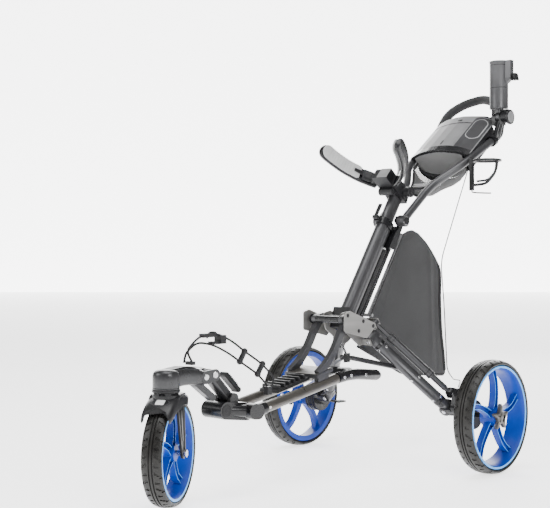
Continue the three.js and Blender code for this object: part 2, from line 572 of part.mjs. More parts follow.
for (const [side, s] of sides) {
  const wheel = new THREE.Group();
  wheel.position.set(s * TRACK / 2, 0, REAR_TYRE_R);
  wheel.rotation.z = s < 0 ? Math.PI : 0;
  layout.add(wheel);
  const { tyre, rim } = wheelParts(REAR_TYRE_R, REAR_TYRE_W, 25);
  add(wheel, `${side}_rear_rim`, rim, BLUE);
  add(wheel, `${side}_rear_tyre`, tyre, TYRE);
  const star = [];
  for (let i = 0; i < 20; i++) {
    const t = (i / 20) * Math.PI * 2;
    const r = 26 + 9 * Math.cos(5 * t);
    star.push([-r * Math.sin(t), r * Math.cos(t)]);
  }
  add(wheel, `${side}_hub_cap`, cut(
    slab(star, REAR_TYRE_W / 2 - 7 + GAP, REAR_TYRE_W / 2 + 3),
    rod([0, 0, 0], [REAR_TYRE_W / 2 - 2, 0, 0], AXLE_R + GAP, 16),
  ), CAP_GREY);
}

// ---- lower frame: two tubes from the hinge block back to a joining casting, cradle for the bag's foot ----
const lowerRoute = (s, y0, y1) => [[s * LOWER_X, y0, 196], [s * LOWER_X, -428, 220], [s * LOWER_X, y1, 245]];
for (const [side, s] of sides) {
  add(layout, `${side}_lower_tube`, pipe(lowerRoute(s, -570, -289), LOWER_R, 60, 45, 12), WARM_GREY);
}
const rearRoute = [-1, 1].map((s) => pipe([[s * LOWER_X, -286, 245.5], [s * LOWER_X, -225, 252], [s * LOWER_X, -122, 241]], 14.5, 40, 40, 12));
add(layout, 'rear_crossbar', join(
  ...rearRoute,
  ...[-1, 1].map((s) => rod([s * LOWER_X, -123, 241.1], [s * LOWER_X, -113, 240], 14.5, 12, 11)),
  rod([-LOWER_X, -150, 244], [LOWER_X, -150, 244], 9, 10),
), BLACK);

const strutLine = [[FOLD_PIN[0], FOLD_PIN[1]], [-266, 366], [-298, 318], [-330, 284], [-362, 262]];
const strutBand = (x0, x1) => {
  const flat = armBand(strutLine, -9, 9, 0, x1 - x0);
  return flat.applyMatrix4(new THREE.Matrix4().set(0, 0, 1, x0, 1, 0, 0, 0, 0, 1, 0, 0, 0, 0, 0, 1));
};
const oversizeTube = (s) => pipe(lowerRoute(s, -570, -289), LOWER_R + GAP, 60, 45, 12);
const barAt = [FOLD_PIN[0] - 24, FOLD_PIN[1] - 4];
add(layout, 'cradle_frame', cut(
  join(
    strutBand(38, 52),
    strutBand(-52, -38),
    slab(belt([[...FOLD_PIN, 11], [...barAt, 9]]), 38, 52),
    slab(belt([[...FOLD_PIN, 11], [...barAt, 9]]), -52, -38),
    rod([-52, ...FOLD_PIN], [52, ...FOLD_PIN], 6, 14),
    rod([-56, ...barAt], [56, ...barAt], 8, 14),
    slab([[-372, 252], [-372, 261], [-312, 274], [-312, 266]], -54, 54),
    ...[-1, 1].map((s) => box(14, 40, 24, s * LOWER_X, -346, 252)),
  ),
  oversizeTube(1),
  oversizeTube(-1),
), WARM_GREY);
const ribs = [];
for (let i = 0; i < 6; i++) ribs.push(box(56, 6, 9, 0, -392 - i * 18, 257 - i * 3.6));
add(layout, 'cradle_platform', join(slab([[-374, 248], [-374, 256], [-492, 233], [-492, 225]], -30, 30), ...ribs), DARK_PLASTIC);

// hinge block with its pin; the latch beside it holds the front arm down
const eyes = (x0, x1) => slab(belt([[...NOSE_PIN, 13], [-640, 206, 14]]), x0, x1);
const blockBody = cut(
  join(
    slab(belt([[-668, 201, 20], [-600, 193, 21]], 20), -32, 32),
    slab(belt([[-602, 195, 18], [-589, 194, 18]], 20), -60, 60),
    eyes(17, 26),
    eyes(-26, -17),
  ),
  slab(belt([[...NOSE_PIN, 15]], 20), -16.6, 16.6),
);
add(layout, 'hinge_block', join(blockBody, rod([-18, ...NOSE_PIN], [18, ...NOSE_PIN], 6, 14)), BLACK);
add(layout, 'front_latch', join(
  rod([-50, -566, 236], [-26, -566, 236], 7, 12),
  slab(belt([[-566, 236, 6], [-606, 274, 7]]), -50, -26),
), DARK_PLASTIC);

add(layout, 'front_arm', cut(
  join(
    rod([0, STEER_Y, HEAD_Z0], [0, STEER_Y, HEAD_Z1], 30, 28),
    slab([[-840, 262], [-840, 304], [-785, 309], [-722, 303], [-713, 296], [-713, 264], [-745, 258], [-790, 262]], -22, 22),
    slab(belt([[-722, 281, 15], [-693, 284, 14]]), 16.6, 22),
    slab(belt([[-722, 281, 15], [-693, 284, 14]]), -22, -16.6),
    slab(belt([[-738, 268, 8], [-688, 232, 8]]), -9, 9),
  ),
  rod([0, STEER_Y, HEAD_Z0 - 5], [0, STEER_Y, HEAD_Z1 - 5], 10, 18),
), CHARCOAL);
add(layout, 'diagonal_link', cut(
  slab(belt([[-693, 284, 13], [...NOSE_PIN, 13.5]]), -16, 16),
  rod([-20, ...NOSE_PIN], [20, ...NOSE_PIN], 6 + GAP, 16),
), CHARCOAL);

// elastic cord ladder: two cords with spacers, hooked from the front arm's top to the right lower tube
const cordMid = [[0, -752, 314], [0, -744, 342], [0, -722, 378], [4, -680, 384], [9, -645, 368], [20, -604, 320], [33, -566, 282], [44, -540, 252]];
const cordRise = 16;
const cordUp = cordMid.map(([x, y, z], i) => [x, y - (i > 3 ? cordRise * 0.5 : -3), z + (i > 3 ? cordRise * 0.8 : 3)]);
const cordDown = cordMid.map(([x, y, z], i) => [x, y + (i > 3 ? 0 : -4), z - (i > 3 ? cordRise * 0.8 : 3)]);
cordUp[7] = [46, -546, 246];
cordDown[7] = [42, -540, 238];
cordUp[0] = [8, -744, 316];
cordDown[0] = [-8, -760, 316];
const spacer = (i) => rod(cordUp[i], cordDown[i], 5, 10);
add(layout, 'bungee_strap', join(
  pipe(cordUp, 2.6, 30, 20, 8),
  pipe(cordDown, 2.6, 30, 20, 8),
  spacer(5),
  spacer(6),
  box(18, 40, 14, 3, -690, 381),
  box(24, 12, 8, 0, -752, 314.6),
  box(14, 16, 20, 44, -543, 238),
), BLACK);

// ---- fork and front wheel, swivelled about the steering stem ----
const steering = new THREE.Group();
steering.position.set(0, STEER_Y, 0);
steering.rotation.z = THREE.MathUtils.degToRad(STEER_TURN);
layout.add(steering);
const FORK_IN = FRONT_TYRE_W / 2 + 5;
const FORK_OUT = FORK_IN + 6.5;
const hood = [];
for (let i = 0; i <= 8; i++) {
  const t = THREE.MathUtils.degToRad(78 + i * 8);
  hood.push([TRAIL + 131 * Math.cos(t), FRONT_TYRE_R + 131 * Math.sin(t)]);
}
for (let i = 8; i >= 0; i--) {
  const t = THREE.MathUtils.degToRad(78 + i * 8);
  hood.push([TRAIL + 124 * Math.cos(t), FRONT_TYRE_R + 124 * Math.sin(t)]);
}
add(steering, 'fork', cut(
  join(
    slab(hood, -FORK_OUT, FORK_OUT),
    slab([[-22, 244.5], [44, 244.5], [44, 250], [24, HEAD_Z0 - 1], [-24, HEAD_Z0 - 1]], -30, 30),
    ...[-1, 1].map((s) => slab(belt([[2, 238, 16], [TRAIL, FRONT_TYRE_R, 12]]), s < 0 ? -FORK_OUT : FORK_IN, s < 0 ? -FORK_IN : FORK_OUT)),
    rod([0, 0, 248], [0, 0, HEAD_Z1 - 8], 10 - GAP, 18),
  ),
  rod([-60, TRAIL, FRONT_TYRE_R], [60, TRAIL, FRONT_TYRE_R], AXLE_R + GAP, 14),
), BLACK);
add(steering, 'front_axle', join(
  rod([-FORK_OUT - 4, TRAIL, FRONT_TYRE_R], [FORK_OUT + 4, TRAIL, FRONT_TYRE_R], AXLE_R, 14),
  rod([FORK_OUT + GAP, TRAIL, FRONT_TYRE_R], [FORK_OUT + 6, TRAIL, FRONT_TYRE_R], 9, 6),
  rod([-FORK_OUT - 6, TRAIL, FRONT_TYRE_R], [-FORK_OUT - GAP, TRAIL, FRONT_TYRE_R], 9, 6),
), STEEL);
const frontWheel = new THREE.Group();
frontWheel.position.set(0, TRAIL, FRONT_TYRE_R);
steering.add(frontWheel);
const front = wheelParts(FRONT_TYRE_R, FRONT_TYRE_W, 20);
add(frontWheel, 'front_rim', front.rim, BLUE);
add(frontWheel, 'front_tyre', front.tyre, TYRE);

// ---- origin under the middle of the bounding box ----
cart.updateMatrixWorld(true);
const bounds = new THREE.Box3().setFromObject(cart, true);
const middle = bounds.getCenter(new THREE.Vector3());
layout.position.set(-middle.x, -middle.y, -bounds.min.z);

export default cart;
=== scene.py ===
# Three-wheel folding golf push cart, standing open, with no golf bag on it. Metres, +Z up, front wheel to -Y.
# Each section below makes one piece or one group of like pieces, in the order in which the cart goes together.
import json
import math

import bmesh
import bpy
from mathutils import Matrix, Vector, noise


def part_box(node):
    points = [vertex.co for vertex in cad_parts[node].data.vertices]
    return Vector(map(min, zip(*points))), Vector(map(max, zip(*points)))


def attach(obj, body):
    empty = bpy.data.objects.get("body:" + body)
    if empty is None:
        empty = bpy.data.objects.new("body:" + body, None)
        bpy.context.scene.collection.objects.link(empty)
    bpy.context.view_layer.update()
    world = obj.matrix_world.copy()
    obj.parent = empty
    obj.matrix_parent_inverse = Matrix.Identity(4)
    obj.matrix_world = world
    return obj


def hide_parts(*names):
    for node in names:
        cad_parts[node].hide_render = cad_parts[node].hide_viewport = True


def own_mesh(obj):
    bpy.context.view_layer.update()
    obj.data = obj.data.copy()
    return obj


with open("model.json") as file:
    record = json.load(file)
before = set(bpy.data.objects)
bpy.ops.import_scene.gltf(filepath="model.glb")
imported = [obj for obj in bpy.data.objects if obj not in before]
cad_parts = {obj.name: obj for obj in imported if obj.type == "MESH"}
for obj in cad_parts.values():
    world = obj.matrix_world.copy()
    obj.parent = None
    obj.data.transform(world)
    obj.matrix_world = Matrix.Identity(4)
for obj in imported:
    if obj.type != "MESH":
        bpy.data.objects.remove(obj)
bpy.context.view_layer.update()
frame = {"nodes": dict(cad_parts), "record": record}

# ---- The view, the floor and the light ----
# A three-quarter view from the front right, level with the middle of the cart.
# Pale floor and wall, large soft lights above and beside it.
axle_y = sum(c.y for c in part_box("right_rear_tyre")) * 500
rear_r, rear_x, front_r, front_trail, steer_y = 145, 321.75, 120, 20, -825


def at(x, y, z):
    """Millimetres from the floor midway between the rear wheels, turned into the cart's metres."""
    return Vector((x, y + axle_y, z)) / 1000


eye = bpy.data.cameras.new("view")
eye.sensor_width = 36
eye.lens = 72.42
view = bpy.data.objects.new("view", eye)
view.location = at(1805.4, -2464.9, 555.6)
view.rotation_euler = (math.radians(90.08), 0, math.radians(42.13))
bpy.context.scene.collection.objects.link(view)
bpy.context.scene.camera = view

for name, spot, aim, size, power in (
    ("overhead", (0.3, -0.5, 2.9), (0, 0, 0.5), 2.0, 80),
    ("front_right", (2.6, -0.9, 1.7), (0, 0, 0.5), 1.2, 52),
    ("front_left", (-1.6, -2.8, 1.9), (0, 0, 0.4), 1.4, 44),
    ("behind", (-1.4, 2.6, 2.0), (0, 0, 0.6), 1.8, 38),
):
    lamp = bpy.data.lights.new(name, "AREA")
    lamp.size = size
    lamp.energy = power
    light = bpy.data.objects.new(name, lamp)
    light.location = spot
    light.rotation_euler = (Vector(aim) - Vector(spot)).to_track_quat("-Z", "Y").to_euler()
    bpy.context.scene.collection.objects.link(light)
sky = bpy.data.worlds.new("studio")
sky.use_nodes = True
sky.node_tree.nodes["Background"].inputs["Color"].default_value = (1, 1, 1, 1)
sky.node_tree.nodes["Background"].inputs["Strength"].default_value = 0.3
bpy.context.scene.world = sky


def white_sweep(name, glow, size, place):
    """A large plain white sheet with a soft glow of its own, for the floor or the wall behind the cart."""
    paint = bpy.data.materials.new(name + "_paint")
    paint.use_nodes = True
    skin = paint.node_tree.nodes["Principled BSDF"]
    skin.inputs["Base Color"].default_value = (0.95, 0.95, 0.95, 1)
    skin.inputs["Roughness"].default_value = 0.9
    skin.inputs["Emission Color"].default_value = (1, 1, 1, 1)
    skin.inputs["Emission Strength"].default_value = glow
    sheet = bmesh.new()
    bmesh.ops.create_grid(sheet, x_segments=1, y_segments=1, size=size, matrix=place)
    mesh = bpy.data.meshes.new(name)
    sheet.to_mesh(mesh)
    mesh.materials.append(paint)
    made = bpy.data.objects.new(name, mesh)
    bpy.context.scene.collection.objects.link(made)


white_sweep("floor", 2.0, 30, Matrix.Identity(4))
away = Matrix.Rotation(view.rotation_euler.z, 4, "Z")
white_sweep("wall", 4.5, 9, away @ Matrix.Translation((0, 14, 3)) @ Matrix.Rotation(math.pi / 2, 4, "X"))

# ---- Brake cable ----
# A black sheathed steel cable from under the console, down behind the storage bag and forward to the right
# brake drum. It leaves one housing and goes into another, so nearly its whole length shows.


def surface(name):
    """An empty material, with its links, its main shader and a way to add a node with its settings and inputs."""
    made = bpy.data.materials.new(name)
    made.use_nodes = True
    nodes, links = made.node_tree.nodes, made.node_tree.links

    def add(kind, feeds=(), **settings):
        one = nodes.new("ShaderNode" + kind)
        for key, value in settings.items():
            one.inputs[key.replace("_", " ")].default_value = value
        for source, target in feeds:
            links.new(source, one.inputs[target])
        return one

    return made, links, nodes["Principled BSDF"], add


def ramp(tint, *stops):
    """Set a colour ramp's two stops: a position, or None to leave it, and a colour."""
    for stop, (position, colour) in zip(tint.color_ramp.elements, stops):
        if position is not None:
            stop.position = position
        stop.color = [*colour, 1]


def finish(name, colour, rough, metal=0.0, grain=700, depth=0.12, mottle=0.14, stretch=(1, 1, 1),
           scuffs=0.0, sheen=0.0, coat=0.0):
    """A moulded, painted or metal surface: cloudy colour and gloss, fine grain, and scuffs where it is handled."""
    made, links, skin, add = surface(name)
    for key, value in (("Metallic", metal), ("Sheen Weight", sheen), ("Coat Weight", coat), ("Coat Roughness", 0.2),
                       ("Specular IOR Level", 0.5 if metal else 0.28)):
        skin.inputs[key].default_value = value
    where = add("TexCoord")
    place = add("Mapping", [(where.outputs["Object"], "Vector")], Scale=stretch)
    cloud = add("TexNoise", [(place.outputs["Vector"], "Vector")], Scale=26, Detail=5)
    tint = add("ValToRGB", [(cloud.outputs["Fac"], "Fac")])
    ramp(tint, (0.3, [c * (1 - mottle) for c in colour]), (0.7, [min(1, c * (1 + mottle)) for c in colour]))
    shade = tint.outputs["Color"]
    if scuffs:
        rub = add("TexNoise", [(place.outputs["Vector"], "Vector")], Scale=120, Detail=8, Roughness=0.75)
        worn = add("ValToRGB", [(rub.outputs["Fac"], "Fac")])
        ramp(worn, (0.6, (0, 0, 0)), (0.72, [scuffs] * 3))
        blend = add("Mix")
        blend.data_type = "RGBA"
        links.new(worn.outputs["Color"], blend.inputs[0])
        links.new(shade, blend.inputs[6])
        blend.inputs[7].default_value = [min(1, c * 2.2 + 0.05) for c in colour] + [1]
        shade = blend.outputs[2]
    links.new(shade, skin.inputs["Base Color"])
    gloss = add("MapRange", [(cloud.outputs["Fac"], "Value")], To_Min=max(0.05, rough - 0.08),
                To_Max=min(1, rough + 0.08))
    links.new(gloss.outputs["Result"], skin.inputs["Roughness"])
    fine = add("TexNoise", [(place.outputs["Vector"], "Vector")], Scale=grain, Detail=3)
    bump = add("Bump", [(fine.outputs["Fac"], "Height")], Strength=depth, Distance=0.0006)
    links.new(bump.outputs["Normal"], skin.inputs["Normal"])
    return made


slots = {s["node"]: s["material_slot"] for s in frame["record"]["subparts"]}
body_of = {n: b for b, group in frame["record"]["behaviour"]["bodies"].items() for n in group}


def settle(shape, name, body, skin, slot, *nodes, edge=0.0, turn=35, recalc=True):
    """A finished piece from a bmesh: faces outwards, soft shading, eased edges, its finish and its body."""
    bmesh.ops.remove_doubles(shape, verts=shape.verts, dist=1e-6)
    if recalc:
        bmesh.ops.recalc_face_normals(shape, faces=shape.faces)
    mesh = bpy.data.meshes.new(name)
    shape.to_mesh(mesh)
    shape.free()
    for face in mesh.polygons:
        face.use_smooth = True
    mesh.set_sharp_from_angle(angle=math.radians(turn))
    for one in skin if isinstance(skin, (list, tuple)) else [skin]:
        mesh.materials.append(one)
    piece = bpy.data.objects.new(name, mesh)
    bpy.context.scene.collection.objects.link(piece)
    if edge:
        ease = piece.modifiers.new("eased_edges", "BEVEL")
        ease.width = edge
        ease.segments = 2
        ease.limit_method = "ANGLE"
        ease.angle_limit = math.radians(turn)
        ease.harden_normals = True
        ease.use_clamp_overlap = True
    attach(piece, body)
    if nodes:
        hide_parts(*nodes)
    return piece


def tube_shape(route, radius, sides=8, smooth=True):
    """A round tube or cord through the points of a route, as a mesh with closed ends."""
    line = bpy.data.curves.new("route", "CURVE")
    line.dimensions = "3D"
    line.bevel_depth = radius
    line.bevel_resolution = sides
    line.resolution_u = 8
    line.use_fill_caps = True
    run = line.splines.new("BEZIER" if smooth else "POLY")
    if smooth:
        run.bezier_points.add(len(route) - 1)
        for knot, p in zip(run.bezier_points, route):
            knot.co = p
            knot.handle_left_type = knot.handle_right_type = "AUTO"
    else:
        run.points.add(len(route) - 1)
        for knot, p in zip(run.points, route):
            knot.co = (*p, 1)
    holder = bpy.data.objects.new("route", line)
    bpy.context.scene.collection.objects.link(holder)
    bpy.context.view_layer.update()
    made = bpy.data.meshes.new_from_object(holder.evaluated_get(bpy.context.evaluated_depsgraph_get()))
    bpy.data.objects.remove(holder)
    shape = bmesh.new()
    shape.from_mesh(made)
    bmesh.ops.remove_doubles(shape, verts=shape.verts, dist=1e-6)
    return shape


def rounded(corners, bend, steps=5):
    """The points of a route whose corners are rounded to a bend."""
    points = [corners[0]]
    for a, b, c in zip(corners, corners[1:], corners[2:]):
        cut = min(bend, (b - a).length * 0.45, (c - b).length * 0.45)
        p, q = b + (a - b).normalized() * cut, b + (c - b).normalized() * cut
        for i in range(steps + 1):
            t = i / steps
            points.append(p * (1 - t) ** 2 + b * 2 * t * (1 - t) + q * t * t)
    return points + [corners[-1]]


sheath = finish("cable_sheath", (0.012, 0.012, 0.013), 0.42, grain=1500, depth=0.1)
cable_corners = [at(*p) for p in ((20, 407, 889), (20, 396, 866), (20, 328, 740), (20, 222, 540), (20, 240, 400),
                                  (20, 254, 222), (52, 238, 200), (190, 60, 222), (231, -14, 214.5))]
cable_route = rounded(cable_corners, 0.03)
cable = settle(tube_shape(cable_route, 0.0016, 3, smooth=False), "brake_cable_run", "main_frame", sheath,
               slots["brake_cable"], "brake_cable")

# ---- Side plates ----
# On each side an aluminium plate with folded lugs for the legs, and a cover plate that stands off it, brushed and
# clear coated. Dark pins through them hold the block at the foot of the column.
plate_metal = finish("brushed_plate", (0.2, 0.196, 0.19), 0.42, 0.45, grain=260, depth=0.2, stretch=(1, 0.12, 1.6),
                     mottle=0.2, scuffs=0.25)
black = finish("black_nylon", (0.009, 0.009, 0.01), 0.42, grain=900, depth=0.2, scuffs=0.08)


def bar(shape, a, b, radius, tip=None, sides=28):
    """A round bar or disc from a to b, added to a bmesh."""
    run = b - a
    turn = run.to_track_quat("Z", "Y").to_matrix().to_4x4()
    bmesh.ops.create_cone(shape, cap_ends=True, segments=sides, radius1=radius, depth=run.length,
                          radius2=radius if tip is None else tip, matrix=Matrix.Translation((a + b) / 2) @ turn)


def box(shape, place, size):
    """A block of a size in metres, added to a bmesh."""
    bmesh.ops.create_cube(shape, size=1, matrix=place @ Matrix.Diagonal((*size, 1)))


def hull(discs, place=Matrix.Identity(4)):
    """The skin stretched round discs that face sideways: points in segments, radius in millimetres and centre."""
    shape = bmesh.new()
    for segments, radius, centre in discs:
        bmesh.ops.create_circle(shape, segments=segments, radius=radius / 1000,
                                matrix=place @ Matrix.Translation(centre) @ Matrix.Rotation(math.pi / 2, 4, "Y"))
    bmesh.ops.convex_hull(shape, input=shape.verts)
    return shape


def absorb(shape, other):
    """Add another bmesh to a shape and free it."""
    scrap = bpy.data.meshes.new("scrap")
    other.to_mesh(scrap)
    other.free()
    shape.from_mesh(scrap)


def recast(node, skin, edge=0.0008, turn=35):
    """The CAD node's own shape, welded, with eased edges and soft shading, in its real finish."""
    shape = bmesh.new()
    shape.from_mesh(frame["nodes"][node].data)
    bmesh.ops.remove_doubles(shape, verts=shape.verts, dist=2e-5)
    bmesh.ops.dissolve_limit(shape, angle_limit=math.radians(2), verts=shape.verts, edges=shape.edges,
                             use_dissolve_boundaries=False)
    return settle(shape, node + "_made", body_of[node], skin, slots[node], node, edge=edge, turn=turn, recalc=False)


for side, s in (("left", -1), ("right", 1)):
    recast(f"{side}_side_plate", plate_metal, edge=0.0006)
    pins = bmesh.new()
    for y, z in ((-271, 404), (-207, 387), (-226, 363), (-165, 373)):
        bar(pins, at(s * 68.8, y, z), at(s * 69.8, y, z), 0.0052)
        bar(pins, at(s * 69.8, y, z), at(s * 71.2, y, z), 0.004, 0.0032)
    settle(pins, f"{side}_plate_pins", "main_frame", black, "black_plastic", edge=0.0004)

# ---- Column block and lock rod ----
# A moulded nylon block between the side plates. The ridged rod up its back locks the fold.
# It is turned from dark steel, with a groove every few millimetres.
lean = math.radians(34.6)
column = Matrix.Translation(at(0, -179, 415)) @ Matrix.Rotation(-lean, 4, "X")


def up(x, y, z):
    """Millimetres sideways, backwards and along the column, turned into the cart's metres."""
    return column @ Vector((x / 1000, y / 1000, z / 1000))


recast("plate_block", black)
ridges = bmesh.new()
for i in range(36):
    bar(ridges, up(0, 54, -8 + i * 7), up(0, 54, -4.5 + i * 7), 0.007, sides=24)
    bar(ridges, up(0, 39, 14 + i * 5.6), up(0, 39, 17.2 + i * 5.6), 0.0066, sides=24)
bar(ridges, up(0, 39, -8), up(0, 39, 216), 0.0052, sides=24)
settle(ridges, "lock_rod_ridges", "main_frame", finish("dark_steel", (0.05, 0.05, 0.052), 0.32, 0.7, grain=500),
       "charcoal_metal", edge=0.0004)

# ---- Column ----
# An oval aluminium extrusion, charcoal anodised, with two grooves down each flat side.
# The inner one slides out of it for taller bags, and a black collar with a lever clamps it.
charcoal = finish("charcoal_anodised", (0.055, 0.055, 0.058), 0.32, 0.55, grain=800, depth=0.03, mottle=0.06)


def oval_ring(width, depth, z, groove):
    """A ring of points round the column's oval section at one height, with grooves in its flat sides."""
    r, flat = width / 2, (depth - width) / 2
    ring = []
    for s in (1, -1):
        for i in range(11):
            a = math.pi * i / 10
            ring.append(up(r * math.cos(a) * s, s * (flat + r * math.sin(a)), z))
        ring += [up(-s * x, s * y, z) for y, x in ((6.2, r), (5.6, r - groove), (4.2, r - groove), (3.6, r),
                                                   (-3.6, r), (-4.2, r - groove), (-5.6, r - groove), (-6.2, r))]
    return ring


def loop(shape, ring):
    """The points of a closed ring and the edges between them, added to a bmesh."""
    points = [shape.verts.new(p) for p in ring]
    return points + [shape.edges.new((points[i - 1], points[i])) for i in range(len(points))]


def loft(shape, rings):
    """A skin through rings of points, closed at both ends."""
    edges = [loop(shape, ring)[len(ring):] for ring in rings]
    for one, two in zip(edges, edges[1:]):
        bmesh.ops.bridge_loops(shape, edges=one + two)
    bmesh.ops.holes_fill(shape, edges=edges[0] + edges[-1])
    return shape


settle(loft(bmesh.new(), [oval_ring(32, 48, z, 1.1) for z in (-8, -7, 274, 275)]), "outer_column_made", "main_frame",
       charcoal, "charcoal_metal", "outer_column", turn=30)
recast("inner_column", charcoal)
gloss_black = finish("gloss_black_nylon", (0.007, 0.007, 0.008), 0.26, grain=500, depth=0.08, coat=0.12, scuffs=0.05)
recast("column_collar", gloss_black, edge=0.0014)
recast("height_lever", black, edge=0.0012)
bright = finish("bright_steel", (0.5, 0.5, 0.51), 0.22, 0.95, grain=900, depth=0.06, stretch=(1, 1, 0.1))
recast("rear_rail", finish("satin_steel", (0.22, 0.22, 0.225), 0.3, 0.8, grain=900, depth=0.06), edge=0)

# ---- Handle pivot casting ----
# Glossy black casting bolted to the back of the column, with two cheeks for the handle's pin.
# A bright washer and a dark cap close each end of the pin.
recast("pivot_casting", gloss_black, edge=0.0012)
caps = bmesh.new()
for s in (-1, 1):
    bar(caps, at(s * 50.8, 7, 650), at(s * 51.8, 7, 650), 0.0125, sides=36)
settle(caps, "pivot_washers", "main_frame", bright, "bright_steel", edge=0.0003)

# ---- Storage bag ----
# A flat pouch of woven polyester, hung from the rail behind the column, that bellies and creases a little.
# A thick black hem runs down its rear edge and a thinner seam along its foot.


def weave(name, colour, threads, sheen, depth=0.35):
    """Woven cloth: two sets of threads at right angles across the cart's side view, and a slight shade."""
    made, links, skin, add = surface(name)
    skin.inputs["Roughness"].default_value = 0.85
    skin.inputs["Sheen Weight"].default_value = sheen
    where = add("TexCoord").outputs["Object"]
    crossing = []
    for turn in (30, 120):
        place = add("Mapping", [(where, "Vector")], Rotation=(math.radians(turn), 0, 0))
        thread = add("TexWave", [(place.outputs["Vector"], "Vector")], Scale=threads, Distortion=0.6)
        thread.bands_direction = "Z"
        crossing.append((thread.outputs["Fac"], len(crossing)))
    both = add("Math", crossing)
    both.operation = "MULTIPLY"
    cloud = add("TexNoise", [(where, "Vector")], Scale=9, Detail=4)
    mixed = add("Math", [(both.outputs["Value"], 0), (cloud.outputs["Fac"], 2)])
    mixed.operation = "MULTIPLY_ADD"
    mixed.inputs[1].default_value = 0.15
    tint = add("ValToRGB", [(mixed.outputs["Value"], "Fac")])
    ramp(tint, (None, [c * 0.72 for c in colour]), (None, [min(1, c * 1.3) for c in colour]))
    links.new(tint.outputs["Color"], skin.inputs["Base Color"])
    bump = add("Bump", [(both.outputs["Value"], "Height")], Strength=depth, Distance=0.0005)
    links.new(bump.outputs["Normal"], skin.inputs["Normal"])
    return made


polyester = weave("black_polyester", (0.022, 0.022, 0.023), 420, sheen=0.04, depth=0.18)
front = [Vector(p) for p in ((-146, 312), (-84, 402), (64, 617))]
rear = [Vector(p) for p in (
    (-120, 302), (-66, 279), (54, 225), (180, 211), (262, 204), (274, 212), (266, 270), (254, 330), (249, 380),
    (247, 420), (247, 470), (247, 512), (240, 531), (211, 563), (176, 594), (136, 619), (106, 628), (82, 624))]


def cloth_half(across, down, bulge, s):
    """One face of the pouch: rows run from the front edge to the rear outline, with a belly and folds between."""
    shape = bmesh.new()
    bmesh.ops.create_grid(shape, x_segments=across, y_segments=down, size=0.5)
    for v in shape.verts:
        u, w = v.co.x + 0.5, v.co.y + 0.5
        near = front[0].lerp(front[1], w / 0.3) if w < 0.3 else front[1].lerp(front[2], (w - 0.3) / 0.7)
        k = w * (len(rear) - 1)
        i = min(int(k), len(rear) - 2)
        back = rear[i].lerp(rear[i + 1], k - i)
        p = near.lerp(back, u)
        edge = min(1, 9 * u, 9 * (1 - u), 9 * w, 9 * (1 - w))
        belly = math.sin(math.pi * u) ** 0.6 * math.sin(math.pi * w) ** 0.6 * bulge
        fold = 4.2 * math.exp(-((p.x - 192 + (p.y - 400) * 0.05) / 9) ** 2) * min(1, max(0, (p.y - 230) / 90))
        crease = 3.4 * noise.noise(Vector((p.x * 0.011, p.y * 0.009, 7.0 * s)))
        slump = -2.2 * math.exp(-((p.x - 216 + (p.y - 400) * 0.05) / 8) ** 2)
        v.co = at(s * (2.2 + edge * (belly + 0.55 * (fold + crease + slump))), p.x, p.y)
    return shape


for side, s in (("right", 1), ("left", -1)):
    half = cloth_half(90, 110, 6, s)
    if side == "right":
        pouch = half
    else:
        absorb(pouch, half)
rims = [e for e in pouch.edges if e.is_boundary]
bmesh.ops.bridge_loops(pouch, edges=rims)
bag = settle(pouch, "storage_bag_cloth", "main_frame", polyester, "bag_fabric", "storage_bag", turn=180)
soften = bag.modifiers.new("soft", "SUBSURF")
soften.levels = soften.render_levels = 1

binding = finish("bound_webbing", (0.012, 0.012, 0.013), 0.7, grain=1800, depth=0.4)
seams = []
for name, thick, line in (
    ("hem", 0.0066, ((267, 221), (260, 270), (249, 330), (242, 420), (241, 505), (234, 527))),
    ("lower_seam", 0.0034, ((-138, 316), (-62, 284), (56, 231), (180, 217), (258, 210))),
):
    seams.append(settle(tube_shape([at(0, *p) for p in line], thick), f"storage_bag_{name}", "main_frame", binding,
                        "bag_fabric", turn=60))
for piece in (bag, *seams):
    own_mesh(piece)

# ---- Bag bracket ----
# A black nylon head on top of the inner column, with rest blocks, a pin boss and adjusting knobs.
# Two curved arms spring from it round the upper part of a golf bag.
slide_top = 361
bracket_z = slide_top + 18
recast("bag_bracket", black, edge=0.0018)
knobs = bmesh.new()
for x, s in ((-34, -1), (46, 1)):
    bar(knobs, up(x, 0, bracket_z + 4), up(x + s * 0.7, 0, bracket_z + 4), 0.0136, 0.0128, sides=32)
    bar(knobs, up(x + s * 0.7, 0, bracket_z + 4), up(x + s * 1.6, 0, bracket_z + 4), 0.005, 0.004, sides=6)
    bar(knobs, up(s * 22, -42, slide_top - 6), up(s * 22.7, -42, slide_top - 6), 0.0085, sides=28)
settle(knobs, "bracket_knobs", "slide", gloss_black, "black_plastic", edge=0.0004)
webbing = finish("black_webbing", (0.016, 0.016, 0.017), 0.75, grain=1400, depth=0.5, stretch=(1, 1, 3))
strap = bmesh.new()
for x in (-17, 17):
    loft(strap, [[up(x + a, y, z + b) for a, b in ((-6, 0.8), (6, 0.8), (6, -0.8), (-6, -0.8))]
                 for y, z in ((-12, bracket_z + 20.6), (-36, bracket_z + 21.4), (-56, bracket_z + 20.2))])
settle(strap, "bracket_webbing", "slide", webbing, "bag_fabric", edge=0.0003)
pale_block = finish("pale_nylon", (0.2, 0.2, 0.2), 0.55, grain=600, depth=0.1)
rest_shape = ((-94.3, -15), (-94.9, -14.4), (-88.9, 18.6), (-87.6, 19.2), (-56, 17.6), (-56, 16), (-87.6, 17.6),
              (-93.4, -15))
rest = loft(bmesh.new(), [[up(x, y, bracket_z + z) for y, z in rest_shape] for x in (-8, 25.4)])
settle(rest, "rest_block_cap", "slide", pale_block, "pale_pad", edge=0.0005)

